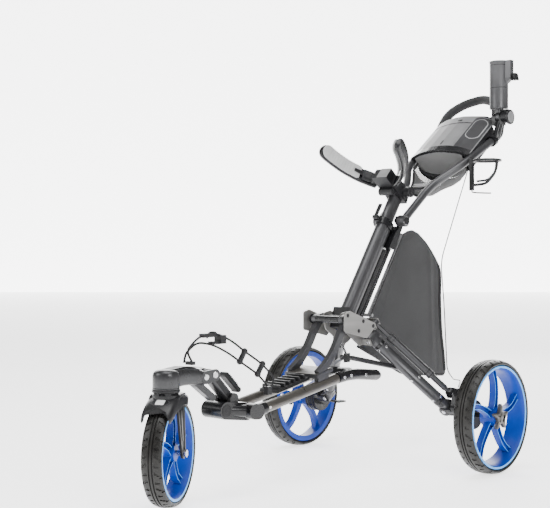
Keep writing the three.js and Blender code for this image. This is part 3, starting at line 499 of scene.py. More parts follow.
arm_line = [Vector(p) for p in ((30, -57), (46, -68), (72, -92), (98, -128), (116, -170), (127.2, -213))]
pad_ink = finish("pale_rubber", (0.36, 0.36, 0.36), 0.62, grain=420, depth=0.25, mottle=0.08)


def curve_at(line, k):
    """The point and the unit direction of a smooth curve through points, k points along it."""
    i = min(int(k), len(line) - 2)
    before, a, b, after = line[max(0, i - 1)], line[i], line[i + 1], line[min(len(line) - 1, i + 2)]
    u, two, three = k - i, 2 * before - 5 * a + 4 * b - after, 3 * a - before - 3 * b + after
    p = (2 * a + (b - before) * u + two * u * u + three * u ** 3) / 2
    return p, ((b - before) + 2 * two * u + 3 * three * u * u).normalized()


def blunt(value, power):
    """A sine or cosine drawn towards 1 or -1, which squares off a circle."""
    return math.copysign(abs(value) ** power, value)


def arm_section(t, s, inner, outer, half, belly=1.0):
    """A soft-cornered cross section of an arm or pad: inner and outer faces and half its height."""
    p, d = curve_at(arm_line, t * (len(arm_line) - 1))
    ring = []
    for i in range(20):
        a = 2 * math.pi * i / 20
        c, q = blunt(math.cos(a), 0.45), blunt(math.sin(a), 0.45)
        mid, thick = (inner + outer) / 2, (outer - inner) / 2
        w = mid + thick * c - belly * q * q * (1 if c > 0 else 0.4)
        f = p + Vector((-d.y, d.x)) * w
        ring.append(up(s * f.x, f.y, bracket_z + half * q))
    return ring


for side, s in (("left", -1), ("right", 1)):
    arm = bmesh.new()
    loft(arm, [arm_section(t, s, -4.6, 8, h, 0) for t, h in
               [(0, 15), (0.03, 17)] + [(0.05 + 0.84 * i / 26, 20.6) for i in range(27)]
               + [(0.92, 20), (0.945, 18.6), (0.965, 16.4), (0.982, 13), (0.994, 8.6), (1, 4)]])
    settle(arm, f"{side}_arm_shell", "slide", gloss_black, "black_plastic", f"{side}_bracket_arm", turn=50)
    band = bmesh.new()
    loft(band, [arm_section(t, s, 7.2, 8.6, h, 0) for t, h in
                [(0.08, 2)] + [(0.1 + 0.8 * i / 20, 5.5) for i in range(21)] + [(0.92, 2)]])
    settle(band, f"{side}_arm_rib", "slide", black, "black_plastic", turn=50)
    rings = [arm_section(0.405, s, -10.5, -6.9, 17, 0)]
    for i in range(60):
        t = 0.41 + 0.57 * i / 59
        low = 1.1 if 8 < i < 50 and i % 4 in (2, 3) else 0
        round_off = 3 * max(0, (5 - i) / 5) ** 2 + 11 * max(0, (i - 50) / 9) ** 2.4
        rings.append(arm_section(t, s, -12.4 + low, -6.8, 19.6 - round_off, 0.8))
    rings.append(arm_section(0.985, s, -10.5, -6.9, 5, 0))
    made = settle(loft(bmesh.new(), rings), f"{side}_arm_pad_made", "slide", pad_ink, "pale_pad", f"{side}_arm_pad",
                  turn=42)
buckle = bmesh.new()
for y0, y1, inner, outer, half in ((0.2, 0.36, -15.5, -5, 15.5), (0.23, 0.33, -17.5, -15, 11)):
    loft(buckle, [arm_section(y0 + (y1 - y0) * i / 6, -1, inner, outer, half, 0) for i in range(7)])
settle(buckle, "left_arm_buckle", "slide", black, "black_plastic", edge=0.0008, turn=50)
tongue = loft(bmesh.new(), [arm_section(0.34 + 0.16 * i / 8, -1, -15.4, -13.2, 7 - 0.3 * i, 0) for i in range(9)])
settle(tongue, "left_arm_tongue", "slide", gloss_black, "black_plastic", turn=50)

# ---- Handle ----
# Two bent charcoal tubes on the casting's pin, and a bow across their ends in a sleeve of dark foam.
# The bow's ends are closed by black ferrules.
pin_y, pin_z = 7, 650


def on_handle(x, y, z):
    """Millimetres from the handle's pin, turned into the cart's metres."""
    return at(x, y + pin_y, z + pin_z)


foam = finish("foam_grip", (0.02, 0.02, 0.021), 0.82, grain=1300, depth=0.6, sheen=0.15)
for side, s in (("left", -1), ("right", 1)):
    route = [on_handle(s * x, y, z) for x, y, z in ((40, 6, 4.6), (40, 132, 101), (99, 221, 170), (108, 372, 252))]
    tube = tube_shape(rounded(route, 0.045, 10), 0.011, smooth=False)
    bar(tube, on_handle(s * 29.6, 0, 0), on_handle(s * 50.4, 0, 0), 0.016, sides=40)
    settle(tube, f"{side}_handle_tube_made", "handle", charcoal, "charcoal_metal", f"{side}_handle_tube", turn=40)
    ferrule = bmesh.new()
    bar(ferrule, on_handle(s * 106.8, 352, 241), on_handle(s * 107.6, 366, 248.5), 0.0128, 0.0135)
    settle(ferrule, f"{side}_handle_ferrule", "handle", gloss_black, "black_plastic", edge=0.001)
half_bow = [(107.5, 376, 255), (107, 389, 265), (104, 403, 300), (88, 421, 341), (52, 451, 370)]
bow_route = [on_handle(-x, y, z) for x, y, z in half_bow] + [on_handle(0, 473, 385)] + \
            [on_handle(*p) for p in reversed(half_bow)]
bow = tube_shape(rounded(bow_route, 0.022, 6), 0.0133, smooth=False)
settle(bow, "handle_bow_made", "handle", foam, "black_plastic", "handle_bow", turn=60)
mount = bmesh.new()
box(mount, Matrix.Translation(on_handle(66, 433.5, 339.5)), (0.012, 0.016, 0.046))
settle(mount, "brake_lever_mount", "handle", black, "black_plastic", edge=0.002)
recast("brake_lever", black, edge=0)

# ---- Console ----
# A shallow black tray slung between the handle tubes under an arched lid of pale grey plastic.
# The lid hinges at its upper edge; its right side is a darker inset panel.
tilt = math.atan2(0.6, 0.8)
deck = Matrix.Translation(on_handle(0, 0, 0)) @ Matrix.Rotation(tilt, 4, "X")


def on_deck(x, y, z):
    """Millimetres sideways, up the handle's slope and square to it, turned into the cart's metres."""
    return deck @ Vector((x / 1000, y / 1000, z / 1000))


recast("console_tray", finish("tray_plastic", (0.022, 0.022, 0.024), 0.5, grain=500, depth=0.2), edge=0.0015)
lid_grey = finish("pale_grey_plastic", (0.17, 0.17, 0.173), 0.42, grain=340, depth=0.25, mottle=0.12, scuffs=0.2)
panel_grey = finish("darker_grey_plastic", (0.03, 0.03, 0.032), 0.42, grain=400, depth=0.2)
net_thread = weave("grey_net_thread", (0.13, 0.13, 0.13), 900, sheen=0.05)
line_grey = finish("light_trim", (0.3, 0.3, 0.305), 0.35, grain=600)


def along(knots, k):
    """A height or width read between knots, each a place and its value, and held level beyond the last."""
    for (a, va), (b, vb) in zip(knots, knots[1:]):
        if k <= b:
            return va + (vb - va) * max(0, k - a) / (b - a)
    return knots[-1][1]


def arch_z(x):
    """Height of the lid's upper face above the deck at a distance from its middle, in millimetres."""
    return along(((0, 39), (30, 37), (62, 31), (88, 21), (100, 14)), abs(x))


def thicken(shape, depth):
    """Give a sheet of faces thickness by pushing a copy of it along a vector."""
    skirt = bmesh.ops.extrude_face_region(shape, geom=shape.faces[:])["geom"]
    bmesh.ops.translate(shape, verts=[v for v in skirt if isinstance(v, bmesh.types.BMVert)], vec=depth)


def lid_patch(name, x0, x1, y0, y1, lift, thick, skin, slot, round_by, edge=0.0009, *nodes):
    """A panel of the lid that follows its arch, with rounded corners, standing a little above or below it."""
    shape = bmesh.new()
    bmesh.ops.create_grid(shape, x_segments=44, y_segments=36, size=0.5)
    cx, cy, hx, hy = (x0 + x1) / 2, (y0 + y1) / 2, (x1 - x0) / 2, (y1 - y0) / 2
    for v in shape.verts:
        px, py = v.co.x * 2 * hx, v.co.y * 2 * hy
        ox, oy = max(0, abs(px) - hx + round_by), max(0, abs(py) - hy + round_by)
        if ox and oy:
            reach = max(ox, oy) / math.hypot(ox, oy)
            px -= math.copysign(ox * (1 - reach), px)
            py -= math.copysign(oy * (1 - reach), py)
        px, py = px + cx, py + cy
        v.co = on_deck(px, py, arch_z(px) + lift)
    thicken(shape, deck.to_3x3() @ Vector((0, 0, -thick / 1000)))
    return settle(shape, name, "lid", skin, slot, *nodes, edge=edge, turn=30)


lid_patch("console_lid_made", -100, 100, 302, 488, -0.6, 3.1, lid_grey, "lid_plastic", 16, 0.0012, "console_lid")
lid_patch("console_lid_raised", -78, 40, 318, 446, 0.0, 1.0, lid_grey, "lid_plastic", 12)
lid_patch("console_lid_side_panel", 46, 98.6, 303, 484, -0.1, 0.8, panel_grey, "dark_plastic", 14)
lid_patch("console_lid_border", 52, 93, 372, 476, 0.2, 0.9, line_grey, "lid_plastic", 24, 0.0003)
lid_patch("console_lid_inset", 54.2, 90.8, 374.6, 473.6, 0.35, 0.9, panel_grey, "dark_plastic", 22, 0.0003)
lid_patch("console_lid_groove", -92, 46, 448, 452, 0.05, 1.0, black, "black_plastic", 1, 0.0003)
lid_patch("console_lid_slit", -3, 3, 330, 352, 0.15, 1.0, black, "black_plastic", 2.8, 0.0003)
lid_patch("console_lid_mark", -8, 8, 460, 468, 0.1, 1.0, black, "black_plastic", 4, 0.0003)
lid_patch("console_mouth_trim", -99, 99, 301, 324, 0.35, 1.2, gloss_black, "black_plastic", 3, 0.0005)
inside, lip, panel_rings, lip_rings = bmesh.new(), bmesh.new(), [], []
across = [-80 + i * 5 for i in range(33)]
for x in across:
    top, curl = arch_z(x) - 8, 26 * abs(x / 80) ** 3
    panel_rings.append([on_deck(x, y, z) for y, z in ((299, top), (300, top), (300, curl - 44), (299, curl - 44))])
    lip_rings.append([on_deck(x, y, z + curl) for y, z in ((297, -44), (300.4, -44), (300.4, -57), (297, -57))])
loft(inside, panel_rings)
loft(lip, lip_rings)
settle(lip, "console_lower_lip", "handle", gloss_black, "black_plastic", edge=0.001)
settle(inside, "console_net_panel", "handle", net_thread, "net_mesh")
mouth = bmesh.new()
loft(mouth, [[on_deck(x, y, arch_z(x) + z) for y, z in ((300.6, -1), (303, 0.2), (303, -9), (300.6, -9))]
             for x in [-97 + i * 6.0625 for i in range(33)]])
settle(mouth, "console_mouth_band", "lid", gloss_black, "black_plastic", edge=0.0008)
studs = bmesh.new()
for x in (-60, -36, -12, 12, 36, 60):
    bar(studs, on_deck(x, 299.8, arch_z(x) - 4.5), on_deck(x, 301, arch_z(x) - 4.5), 0.0021, sides=16)
settle(studs, "console_mouth_studs", "lid", black, "black_plastic")
hinge = bmesh.new()
for x in (-70, 70):
    bar(hinge, on_deck(x - 14, 487, 12), on_deck(x + 14, 487, 12), 0.0045, sides=18)
settle(hinge, "console_lid_hinge", "handle", black, "black_plastic", edge=0.0005)

# ---- Mesh net ----
# An open knitted net below the tray, bound with black piping, with two pale plastic bars near its front lip.
# It hangs between the handle tubes and holds a glove, a cap or balls.


def net_width(y):
    """Half the net's width at a place up the slope."""
    return along(((150, 23), (158, 26), (198, 39), (276, 80), (300, 80)), y)


def net_depth(y):
    """How far the net hangs below the deck at a place up the slope."""
    return along(((150, 24), (190, 47), (250, 63), (302, 67)), y)


net = bmesh.new()
net_low, net_long = 160, 139
bmesh.ops.create_grid(net, x_segments=76, y_segments=44, size=0.5)
for v in net.verts:
    u, w = v.co.x * 2, v.co.y + 0.5
    y = net_low + net_long * w
    a = u * math.pi / 2
    c, q = blunt(math.sin(a), 0.7), abs(math.cos(a)) ** 0.55
    sag = 1.4 * math.sin(u * 9 + y * 0.05) * q
    v.co = on_deck(c * (net_width(y) - 0.6), y, -1.5 - q * (net_depth(y) - 3) + sag)
bmesh.ops.poke(net, faces=net.faces)
seams = [e for e in net.edges if not e.is_boundary and len(e.link_faces) == 2
         and max(len(e.verts[0].link_edges), len(e.verts[1].link_edges)) > 5
         and min(len(e.verts[0].link_edges), len(e.verts[1].link_edges)) > 5]
bmesh.ops.dissolve_edges(net, edges=seams, use_verts=False)
net_piece = settle(net, "mesh_net_made", "handle", net_thread, "net_mesh", "mesh_net", turn=180, recalc=False)
strands = net_piece.modifiers.new("strands", "WIREFRAME")
strands.thickness = 0.0013
strands.use_even_offset = False
rim_points = [on_deck(s * x, y, -2) for s, x, y in
              [(-1, net_width(y) - 1, y) for y in (299, 276, 240, 198, 162)] +
              [(1, net_width(y) - 1, y) for y in (162, 198, 240, 276, 299)]]
piping_shape = tube_shape(rounded(rim_points, 0.02), 0.0034, 4, smooth=False)
settle(piping_shape, "net_piping", "handle", binding, "bag_fabric", turn=60)
lip = tube_shape([on_deck(math.sin(a) * (net_width(298) - 2) if abs(a) < 1.5 else math.copysign(78, a), 299,
                          -2.5 - (net_depth(298) - 5) * math.cos(a) ** 0.55)
                  for a in [-1.5 + 3.0 * i / 24 for i in range(25)]], 0.0042, sides=4)
settle(lip, "net_lower_lip", "handle", binding, "bag_fabric", turn=60)
lip = tube_shape([on_deck(math.sin(a) * (net_width(161) - 1), 161, -3 - (net_depth(161) - 4) * math.cos(a) ** 0.55)
                  for a in [-1.5 + 3.0 * i / 16 for i in range(17)]], 0.0036, sides=4)
settle(lip, "net_front_lip", "handle", binding, "bag_fabric", turn=60)
slats = bmesh.new()
for k in (0, 1):
    loft(slats, [[on_deck(x, 170 + k * 9 + a, 0.4 + b) for a, b in ((0, 0), (5, 0), (5, -1.6), (0, -1.6))]
                 for x in (-25, 25)])
settle(slats, "net_pale_bars", "handle", line_grey, "lid_plastic", edge=0.0005)

# ---- Cup holder ----
# A black bar on the right handle tube, with a round ring that folds up on it.
# Two hoops hang below the ring and hold the foot of the cup.
recast("cup_holder_bar", gloss_black, edge=0.0012)


def on_cup(x, y, z):
    """Millimetres from the end of the cup holder's bar, turned into the cart's metres."""
    return on_handle(125 + x, 225 + y, 172 + z)


def revolve(shape, section, middle, axis, steps):
    """Turn a section once round an axis and weld it to its start."""
    bmesh.ops.spin(shape, geom=section, cent=middle, axis=axis, angle=2 * math.pi, steps=steps, use_merge=True)


def hoop_round(shape, middle, offset, thick, sides):
    """The small circle that a hoop is spun from, set off from the hoop's middle."""
    bmesh.ops.create_circle(shape, segments=sides, radius=thick,
                            matrix=Matrix.Translation(middle + offset) @ Matrix.Rotation(math.pi / 2, 4, "X"))


ring = bmesh.new()
middle = on_cup(41, 0, 0)
hoop_round(ring, middle, Vector((0.038, 0, 0)), 0.0039, 14)
revolve(ring, ring.edges[:], middle, (0, 0, 1), 64)
bar(ring, on_cup(0, -14, 0), on_cup(0, 14, 0), 0.0036)
bar(ring, on_cup(0, 0, 0), on_cup(4, 0, 0), 0.0034)
settle(ring, "cup_ring_made", "cup_ring", gloss_black, "dark_plastic", "cup_holder_ring")
for name, thick, route in (("outer", 0.004, ((78, -8, 0), (76, -10, -34), (46, -10, -66), (3, -10, -68))),
                           ("inner", 0.0032, ((66, 16, 0), (64, 14, -26), (40, 12, -54), (3, 10, -56)))):
    hoop = rounded([on_cup(*p) for p in route], 0.016)
    settle(tube_shape(hoop, thick, 5, smooth=False), f"cup_{name}_hoop", "cup_ring", gloss_black, "dark_plastic")

# ---- Umbrella holder ----
# A deep charcoal cup with a slim lug and a wing screw, on an elbow clamped to the right handle tube.
# An oval knob sets its angle.
recast("umbrella_clamp", gloss_black, edge=0.0012)
cup_grey = finish("umbrella_cup_grey", (0.062, 0.062, 0.065), 0.3, 0.4, grain=700, scuffs=0.06)
cup_inner, cup_outer, cup_high, screw_z, knob_z = 24.3, 28, 162, 112, -3


def on_umbrella(x, y, z):
    """Millimetres from the middle of the umbrella cup's floor, turned into the cart's metres."""
    return on_handle(120 + x, 368 + y, 311 + z)


socket = bmesh.new()
wall = ((4, 22), (24.6, 22), (26.8, 24.5), (26.8, 155), (cup_outer, 157.5), (cup_outer, cup_high),
        (cup_inner, cup_high), (cup_inner, 27.5), (4, 27.5))
revolve(socket, loop(socket, [on_umbrella(r, 0, z) for r, z in wall]), on_umbrella(0, 0, 0), (0, 0, 1), 72)
loft(socket, [[on_umbrella(x, y, z) for x, y in ((24, -w), (e, -w), (e, w), (24, w))]
              for z, e, w in ((96, 30, 6), (104, 38, 8), (114, 43.5, 9), (cup_high, 43.5, 9))])
bar(socket, on_umbrella(-5.8, 0, 0), on_umbrella(5.8, 0, 0), 0.0108)
bar(socket, on_umbrella(0, 0, 11), on_umbrella(0, 0, 24), 0.0085)
settle(socket, "umbrella_holder_made", "umbrella_cup", cup_grey, "charcoal_metal", "umbrella_holder", edge=0.0006,
       turn=30)
wing = bmesh.new()
bar(wing, on_umbrella(43.6, 0, screw_z), on_umbrella(46.1, 0, screw_z), 0.0105, sides=32)
bar(wing, on_umbrella(51.5, 0, screw_z), on_umbrella(59, 0, screw_z), 0.0118, 0.0108, sides=10)
settle(wing, "umbrella_screw_head", "thumb_screw", gloss_black, "black_plastic", edge=0.0008)
recast("umbrella_screw", black, edge=0.001)
beads = bmesh.new()
cup_top = on_umbrella(0, 0, cup_high)
for drop in (0.012, 0.078):
    hoop_round(beads, cup_top, Vector((0.0267, 0, -drop)), 0.0009, 8)
revolve(beads, beads.edges[:], cup_top, (0, 0, 1), 48)
settle(beads, "umbrella_cup_beads", "umbrella_cup", gloss_black, "charcoal_metal")
for name, x0, x1, r0, r1, sides, skin, slot, edge in (
    ("umbrella_angle_knob", 32, 40, 0.0215, 0.0215, 48, gloss_black, "black_plastic", 0.0016),
    ("umbrella_angle_knob_face", 39.8, 40.7, 0.0172, 0.0165, 40, lid_grey, "lid_plastic", 0.0004),
):
    knob = bmesh.new()
    bar(knob, on_umbrella(x0, 0, knob_z), on_umbrella(x1, 0, knob_z), r0, r1, sides)
    settle(knob, name, "handle", skin, slot, edge=edge)

# ---- Legs and upper links ----
# On each side a round charcoal leg and a thinner link above it swing out from lugs on the side plate.
# Bright rivets and black bands sit on the leg, and black rings on the link.
fold_tilt, spread = math.radians(35), math.radians(34)
dark_tube = finish("dark_link_tube", (0.026, 0.026, 0.028), 0.33, 0.3, grain=700, scuffs=0.1)


def leg_place(s, lift=0.0):
    """The frame of a leg or link: sideways across the cart, square to the fold, along the fold's slope."""
    root = at(s * 52, -148, 340) if not lift else at(s * 58, -142, 378)
    return Matrix.Translation(root) @ Matrix.Rotation(fold_tilt, 4, "X") @ Matrix.Rotation(-s * spread, 4, "Y")


def on_leg(s, x, y, down, lift=0.0):
    """Millimetres across, square to and down the leg or link."""
    return leg_place(s, lift) @ Vector((x / 1000, y / 1000, -down / 1000))


for side, s in (("left", -1), ("right", 1)):
    recast(f"{side}_leg", charcoal, edge=0)
    recast(f"{side}_upper_link", dark_tube, edge=0.0007, turn=40)
    recast(f"{side}_spreader", charcoal, edge=0)
    rivets = bmesh.new()
    for down in (34, 150, 226):
        bar(rivets, on_leg(s, 0, -15.3, down), on_leg(s, 0, -16.6, down), 0.0042, 0.0032, sides=18)
        bar(rivets, on_leg(s, s * 15.3, 0, down + 8), on_leg(s, s * 16.5, 0, down + 8), 0.0042, 0.0032, sides=18)
    for down in (0, 266):
        for y in (-1, 1):
            bar(rivets, on_leg(s, 0, y * 19.4, down), on_leg(s, 0, y * 21, down), 0.0058, 0.0046, sides=20)
    settle(rivets, f"{side}_leg_rivets", f"{side}_leg_arm", bright, "bright_steel", edge=0.0003)
    clips = bmesh.new()
    for down in (27, 238):
        bar(clips, on_leg(s, 0, 0, down - 5), on_leg(s, 0, 0, down + 5), 0.0163, sides=32)
    settle(clips, f"{side}_leg_bands", f"{side}_leg_arm", gloss_black, "black_plastic", edge=0.0012)
    bands = bmesh.new()
    for down in (54, 64, 184, 196):
        bar(bands, on_leg(s, 0, 0, down - 1.2, 1), on_leg(s, 0, 0, down + 1.2, 1), 0.0118, sides=28)
    settle(bands, f"{side}_link_rings", f"{side}_link", black, "black_plastic", edge=0.0004)

# ---- Spreader hub ----
# A small black block between the plates that slides on a thin bright rod as the legs fold.
# A coil spring round the rod holds it down.
recast("spreader_hub", black, edge=0.0005)
coil, turns, coil_r = [], 9, 0.0031
rod_low, rod_high = at(0, -190, 296), at(0, -212, 328)
axis = (rod_high - rod_low).normalized()
aside = axis.cross(Vector((1, 0, 0))).normalized()
for i in range(turns * 14 + 1):
    a = 2 * math.pi * i / 14
    round_rod = Vector((1, 0, 0)) * math.cos(a) + aside * math.sin(a)
    coil.append(rod_low.lerp(rod_high, i / (turns * 14)) + round_rod * coil_r)
settle(tube_shape(coil, 0.0006, 3, smooth=False), "hub_spring", "hub_slider", bright, "bright_steel", turn=60)

# ---- Wheel carriers and parking brake ----
# An upright black casting at the foot of each leg holds the axle and the brake drum.
# The left one carries the foot pedal, with bright clips on its side.
for side, s in (("left", -1), ("right", 1)):
    recast(f"{side}_wheel_carrier", gloss_black, edge=0.0014)
    drum = bmesh.new()
    for x in (248, 262, 271):
        bar(drum, at(s * x, 0, rear_r), at(s * (x + 2), 0, rear_r), 0.0377, sides=64)
    bar(drum, at(s * 242, 0, rear_r), at(s * 220.6, 0, rear_r), 0.013, 0.011, sides=6)
    settle(drum, f"{side}_drum_rings", f"{side}_carrier", black, "black_plastic", edge=0.0006)
    clip = bmesh.new()
    for y, z in ((-12, 176), (-24, 196)):
        bar(clip, at(s * 222.6, y, z), at(s * 220.8, y, z), 0.0068, 0.0055, sides=24)
    box(clip, Matrix.Translation(at(s * 232, 16, 166)), (0.012, 0.010, 0.026))
    settle(clip, f"{side}_carrier_bolts", f"{side}_carrier", bright, "bright_steel", edge=0.0006)
recast("brake_pedal", black, edge=0.001)
tread_bars = bmesh.new()
for i in range(5):
    y = 110 + i * 6
    bar(tread_bars, at(-283, y, 121.4), at(-265, y, 121.4), 0.0011, sides=12)
settle(tread_bars, "brake_pedal_ribs", "pedal", finish("pedal_white", (0.5, 0.5, 0.5), 0.5, grain=500), "pale_pad")

# ---- Wheels ----
# Blue nylon rims with five curved, channelled spokes, a light edge and a star-shaped cap, and solid dark rubber
# tyres with two grooves round the middle and zigzag cuts in both shoulders.
blue = finish("blue_nylon", (0.0005, 0.034, 0.3), 0.4, grain=420, depth=0.1, mottle=0.1)
edge_blue = finish("light_blue_edge", (0.1, 0.36, 0.82), 0.28, grain=420, depth=0.08)
rubber = finish("tyre_rubber", (0.014, 0.0135, 0.0125), 0.38, grain=520, depth=0.5, mottle=0.3, scuffs=0.35)
cap_paint = finish("cap_paint", (0.075, 0.07, 0.064), 0.33, 0.3, grain=600, scuffs=0.2)


def lathe(profile, place, steps):
    """A closed ring turned about the wheel's own axle from a section of (radius, sideways) points."""
    shape = bmesh.new()
    section = loop(shape, [place @ Vector((x / 1000, 0, r / 1000)) for r, x in profile])
    revolve(shape, section, place @ Vector((0, 0, 0)), place.to_3x3() @ Vector((1, 0, 0)), steps)
    bmesh.ops.recalc_face_normals(shape, faces=shape.faces)
    return shape


def make_wheel(side, place, body, tyre_r, tyre_w, hub_r):
    """A tyre and a five-spoked rim in the wheel's own frame, whose axle runs along x, sizes in millimetres."""
    h, seat = tyre_w / 2, tyre_r - 17
    back = place.inverted()
    section = [(seat, -h + 7), (seat + 3.5, -h + 5.3), (seat + 6, -h + 1.2), (seat + 8.5, -h + 0.2),
               (seat + 11.5, -h + 1.8), (tyre_r - 3, -h + 6), (tyre_r - 1.5, -h + 11), (tyre_r - 0.7, -h + 16),
               (tyre_r - 0.3, -5.4), (tyre_r - 3, -4.7), (tyre_r - 3, -2.7), (tyre_r - 0.05, -2)]
    section += [(r, -x) for r, x in reversed(section)]
    cuts, parts, shift = [], 240, 6
    tyre = lathe(section, place, parts)
    wave = {0: (0, 1), 1: (1,), 2: (1, 2), 3: (2, 3), 4: (3,), 8: (2, 3), 9: (3,)}
    bounds = [h - 1.8, h - 6, h - 11, h - 16]
    for face in tyre.faces:
        p = back @ face.calc_center_median() * 1000
        if math.hypot(p.y, p.z) < seat + 9.2:
            continue
        k = int(round((math.atan2(p.y, p.z) / (2 * math.pi) * parts) - 0.5)) % parts
        if p.x < 0:
            k = (k + shift) % parts
        ring = next((i for i, b in enumerate(bounds) if abs(p.x) > b), 9)
        if ring in wave.get(k % 12, ()):
            cuts.append(face)
    bmesh.ops.inset_region(tyre, faces=cuts, thickness=0.0002, depth=-0.0021, use_even_offset=True, use_boundary=True)
    settle(tyre, f"{side}_tyre_made", body, rubber, "tyre_rubber", f"{side}_tyre", turn=28, recalc=False)

    rim = lathe([(seat - 12, 3 - h), (seat - 5, 2.2 - h), (seat + 2, 2 - h), (seat + 3, 3.4 - h),
                 (seat - 0.8, 5.2 - h), (seat - 0.8, h - 5.2), (seat + 3, h - 4.2), (seat + 2.4, h - 2.2),
                 (seat - 0.5, h - 2), (seat - 3.2, h - 2.6), (seat - 4.6, h - 5), (seat - 7.5, h - 14),
                 (seat - 10, 0), (seat - 12, 10 - h)], place, 120)
    for face in rim.faces:
        p = back @ face.calc_center_median() * 1000
        if p.x > h - 4.9 and math.hypot(p.y, p.z) > seat - 3.9:
            face.material_index = 1
    line = [Vector(p) for p in ((0, hub_r - 6), (6, hub_r + 14), (8, (hub_r + seat) / 2), (4, seat - 30),
                                (-5, seat - 6.5))]
    spoke = bmesh.new()
    rings = []
    for i in range(17):
        m, d = curve_at(line, i / 16 * (len(line) - 1))
        n = Vector((-d.y, d.x))
        w = 6.6 + 3.4 * (1 - i / 16) ** 3 + 1.6 * (i / 16) ** 4
        high = 9 + 2 * (1 - i / 16)
        rings.append([place @ Vector((x / 1000, (m.x + n.x * o) / 1000, (m.y + n.y * o) / 1000)) for o, x in
                      ((-w, -8), (-w, high), (1.8 - w, high), (1.8 - w, 2.5), (w - 1.8, 2.5), (w - 1.8, high),
                       (w, high), (w, -8))])
    loft(spoke, rings)
    for face in spoke.faces:
        p = back @ face.calc_center_median() * 1000
        if p.x > 8.4 and p.length > hub_r + 2:
            face.material_index = 1
    bmesh.ops.spin(spoke, geom=spoke.verts[:] + spoke.edges[:] + spoke.faces[:], cent=place @ Vector((0, 0, 0)),
                   axis=place.to_3x3() @ Vector((1, 0, 0)), angle=2 * math.pi * 0.8, steps=4, use_duplicate=True)
    bar(spoke, place @ Vector(((-h + 6) / 1000, 0, 0)), place @ Vector(((h - 8) / 1000, 0, 0)), hub_r / 1000,
        (hub_r - 1.5) / 1000, sides=60)
    bmesh.ops.recalc_face_normals(spoke, faces=spoke.faces)
    absorb(rim, spoke)
    settle(rim, f"{side}_rim_made", body, [blue, edge_blue], "blue_plastic", f"{side}_rim", edge=0.0007, turn=32,
           recalc=False)


def star_cap(name, place, body, x0, x1, reach, *nodes):
    """The star-shaped hub cap: five blunt points along the spokes, crowned, with a round bolt cover."""
    rings = []
    for x, k in ((x0, 1), (x1 - 2.2, 1), (x1 - 0.8, 0.93), (x1, 0.8), (x1, 0.45)):
        ring = []
        for i in range(90):
            a = 2 * math.pi * i / 90
            r = reach * (0.46 + 0.54 * (0.5 + 0.5 * math.cos(5 * a)) ** 2.6) * k
            ring.append(place @ Vector((x / 1000, -r * math.sin(a) / 1000, r * math.cos(a) / 1000)))
        rings.append(ring)
    settle(loft(bmesh.new(), rings), name, body, cap_paint, "cap_metal", *nodes, turn=32)


for side, s in (("left", -1), ("right", 1)):
    place = Matrix.Translation(at(s * rear_x, 0, rear_r))
    if s < 0:
        place = place @ Matrix.Rotation(math.pi, 4, "Z")
    make_wheel(f"{side}_rear", place, f"{side}_wheel", rear_r, 54, 25)
    star_cap(f"{side}_hub_cap_made", place, f"{side}_wheel", 19.8, 29.6, 34.5, f"{side}_hub_cap")
    cover = bmesh.new()
    bar(cover, place @ Vector((0.0292, 0, 0)), place @ Vector((0.03, 0, 0)), 0.0085, 0.007, sides=40)
    settle(cover, f"{side}_axle_cover", f"{side}_wheel", cap_paint, "charcoal_metal", edge=0.0003)

# ---- Lower frame ----
# Two warm grey tubes run forward from a black joining casting under the column to the front hinge block.
# The casting's ends are riveted over the tubes.
warm_grey = finish("warm_grey_coat", (0.085, 0.079, 0.071), 0.3, 0.6, grain=700, depth=0.1, scuffs=0.14)
for side, s in (("left", -1), ("right", 1)):
    route = [at(s * 45, -570, 196), at(s * 45, -428, 220), at(s * 45, -289, 245)]
    settle(tube_shape(rounded(route, 0.06, 8), 0.013, smooth=False), f"{side}_lower_tube_made", "lower_frame",
           warm_grey, "warm_grey_metal", f"{side}_lower_tube", turn=50)
recast("rear_crossbar", gloss_black, edge=0.001, turn=40)
rivets = bmesh.new()
for s in (-1, 1):
    for y, z in ((-270, 247.3), (-243, 250), (-182, 247)):
        bar(rivets, at(s * 59.2, y, z), at(s * 60, y, z), 0.0046, 0.0036, sides=20)
    for y, z in ((-560, 198), (-548, 200)):
        bar(rivets, at(s * 57.8, y, z), at(s * 58.6, y, z), 0.004, 0.003, sides=18)
settle(rivets, "lower_frame_rivets", "lower_frame", bright, "bright_steel", edge=0.0003)

# ---- Cradle ----
# Two bent struts rise from the tubes to a black bar at the fold pin; a saddle plate and a ribbed black platform
# between them take the foot of a golf bag.
recast("cradle_frame", charcoal, edge=0.0034)
recast("cradle_platform", black, edge=0.001)
bar_cover = bmesh.new()
for s in (-1, 1):
    bar(bar_cover, at(s * 53, -264, 392), at(s * 56, -264, 392), 0.0125, 0.0115, sides=28)
    bar(bar_cover, at(s * 52.1, -240, 396), at(s * 54.5, -240, 396), 0.009, 0.0075, sides=24)
bar(bar_cover, at(-37, -264, 392), at(37, -264, 392), 0.0088, sides=32)
settle(bar_cover, "cradle_bar_cover", "lower_frame", gloss_black, "black_plastic", edge=0.0008)
saddle = loft(bmesh.new(), [[at(x, y, z) for y, z in ((-371.5, 261.2), (-313, 274.2), (-314, 275.2), (-371, 262.4))]
                            for x in (-52, 52)])
settle(saddle, "cradle_saddle_skin", "lower_frame", warm_grey, "warm_grey_metal", edge=0.0006)

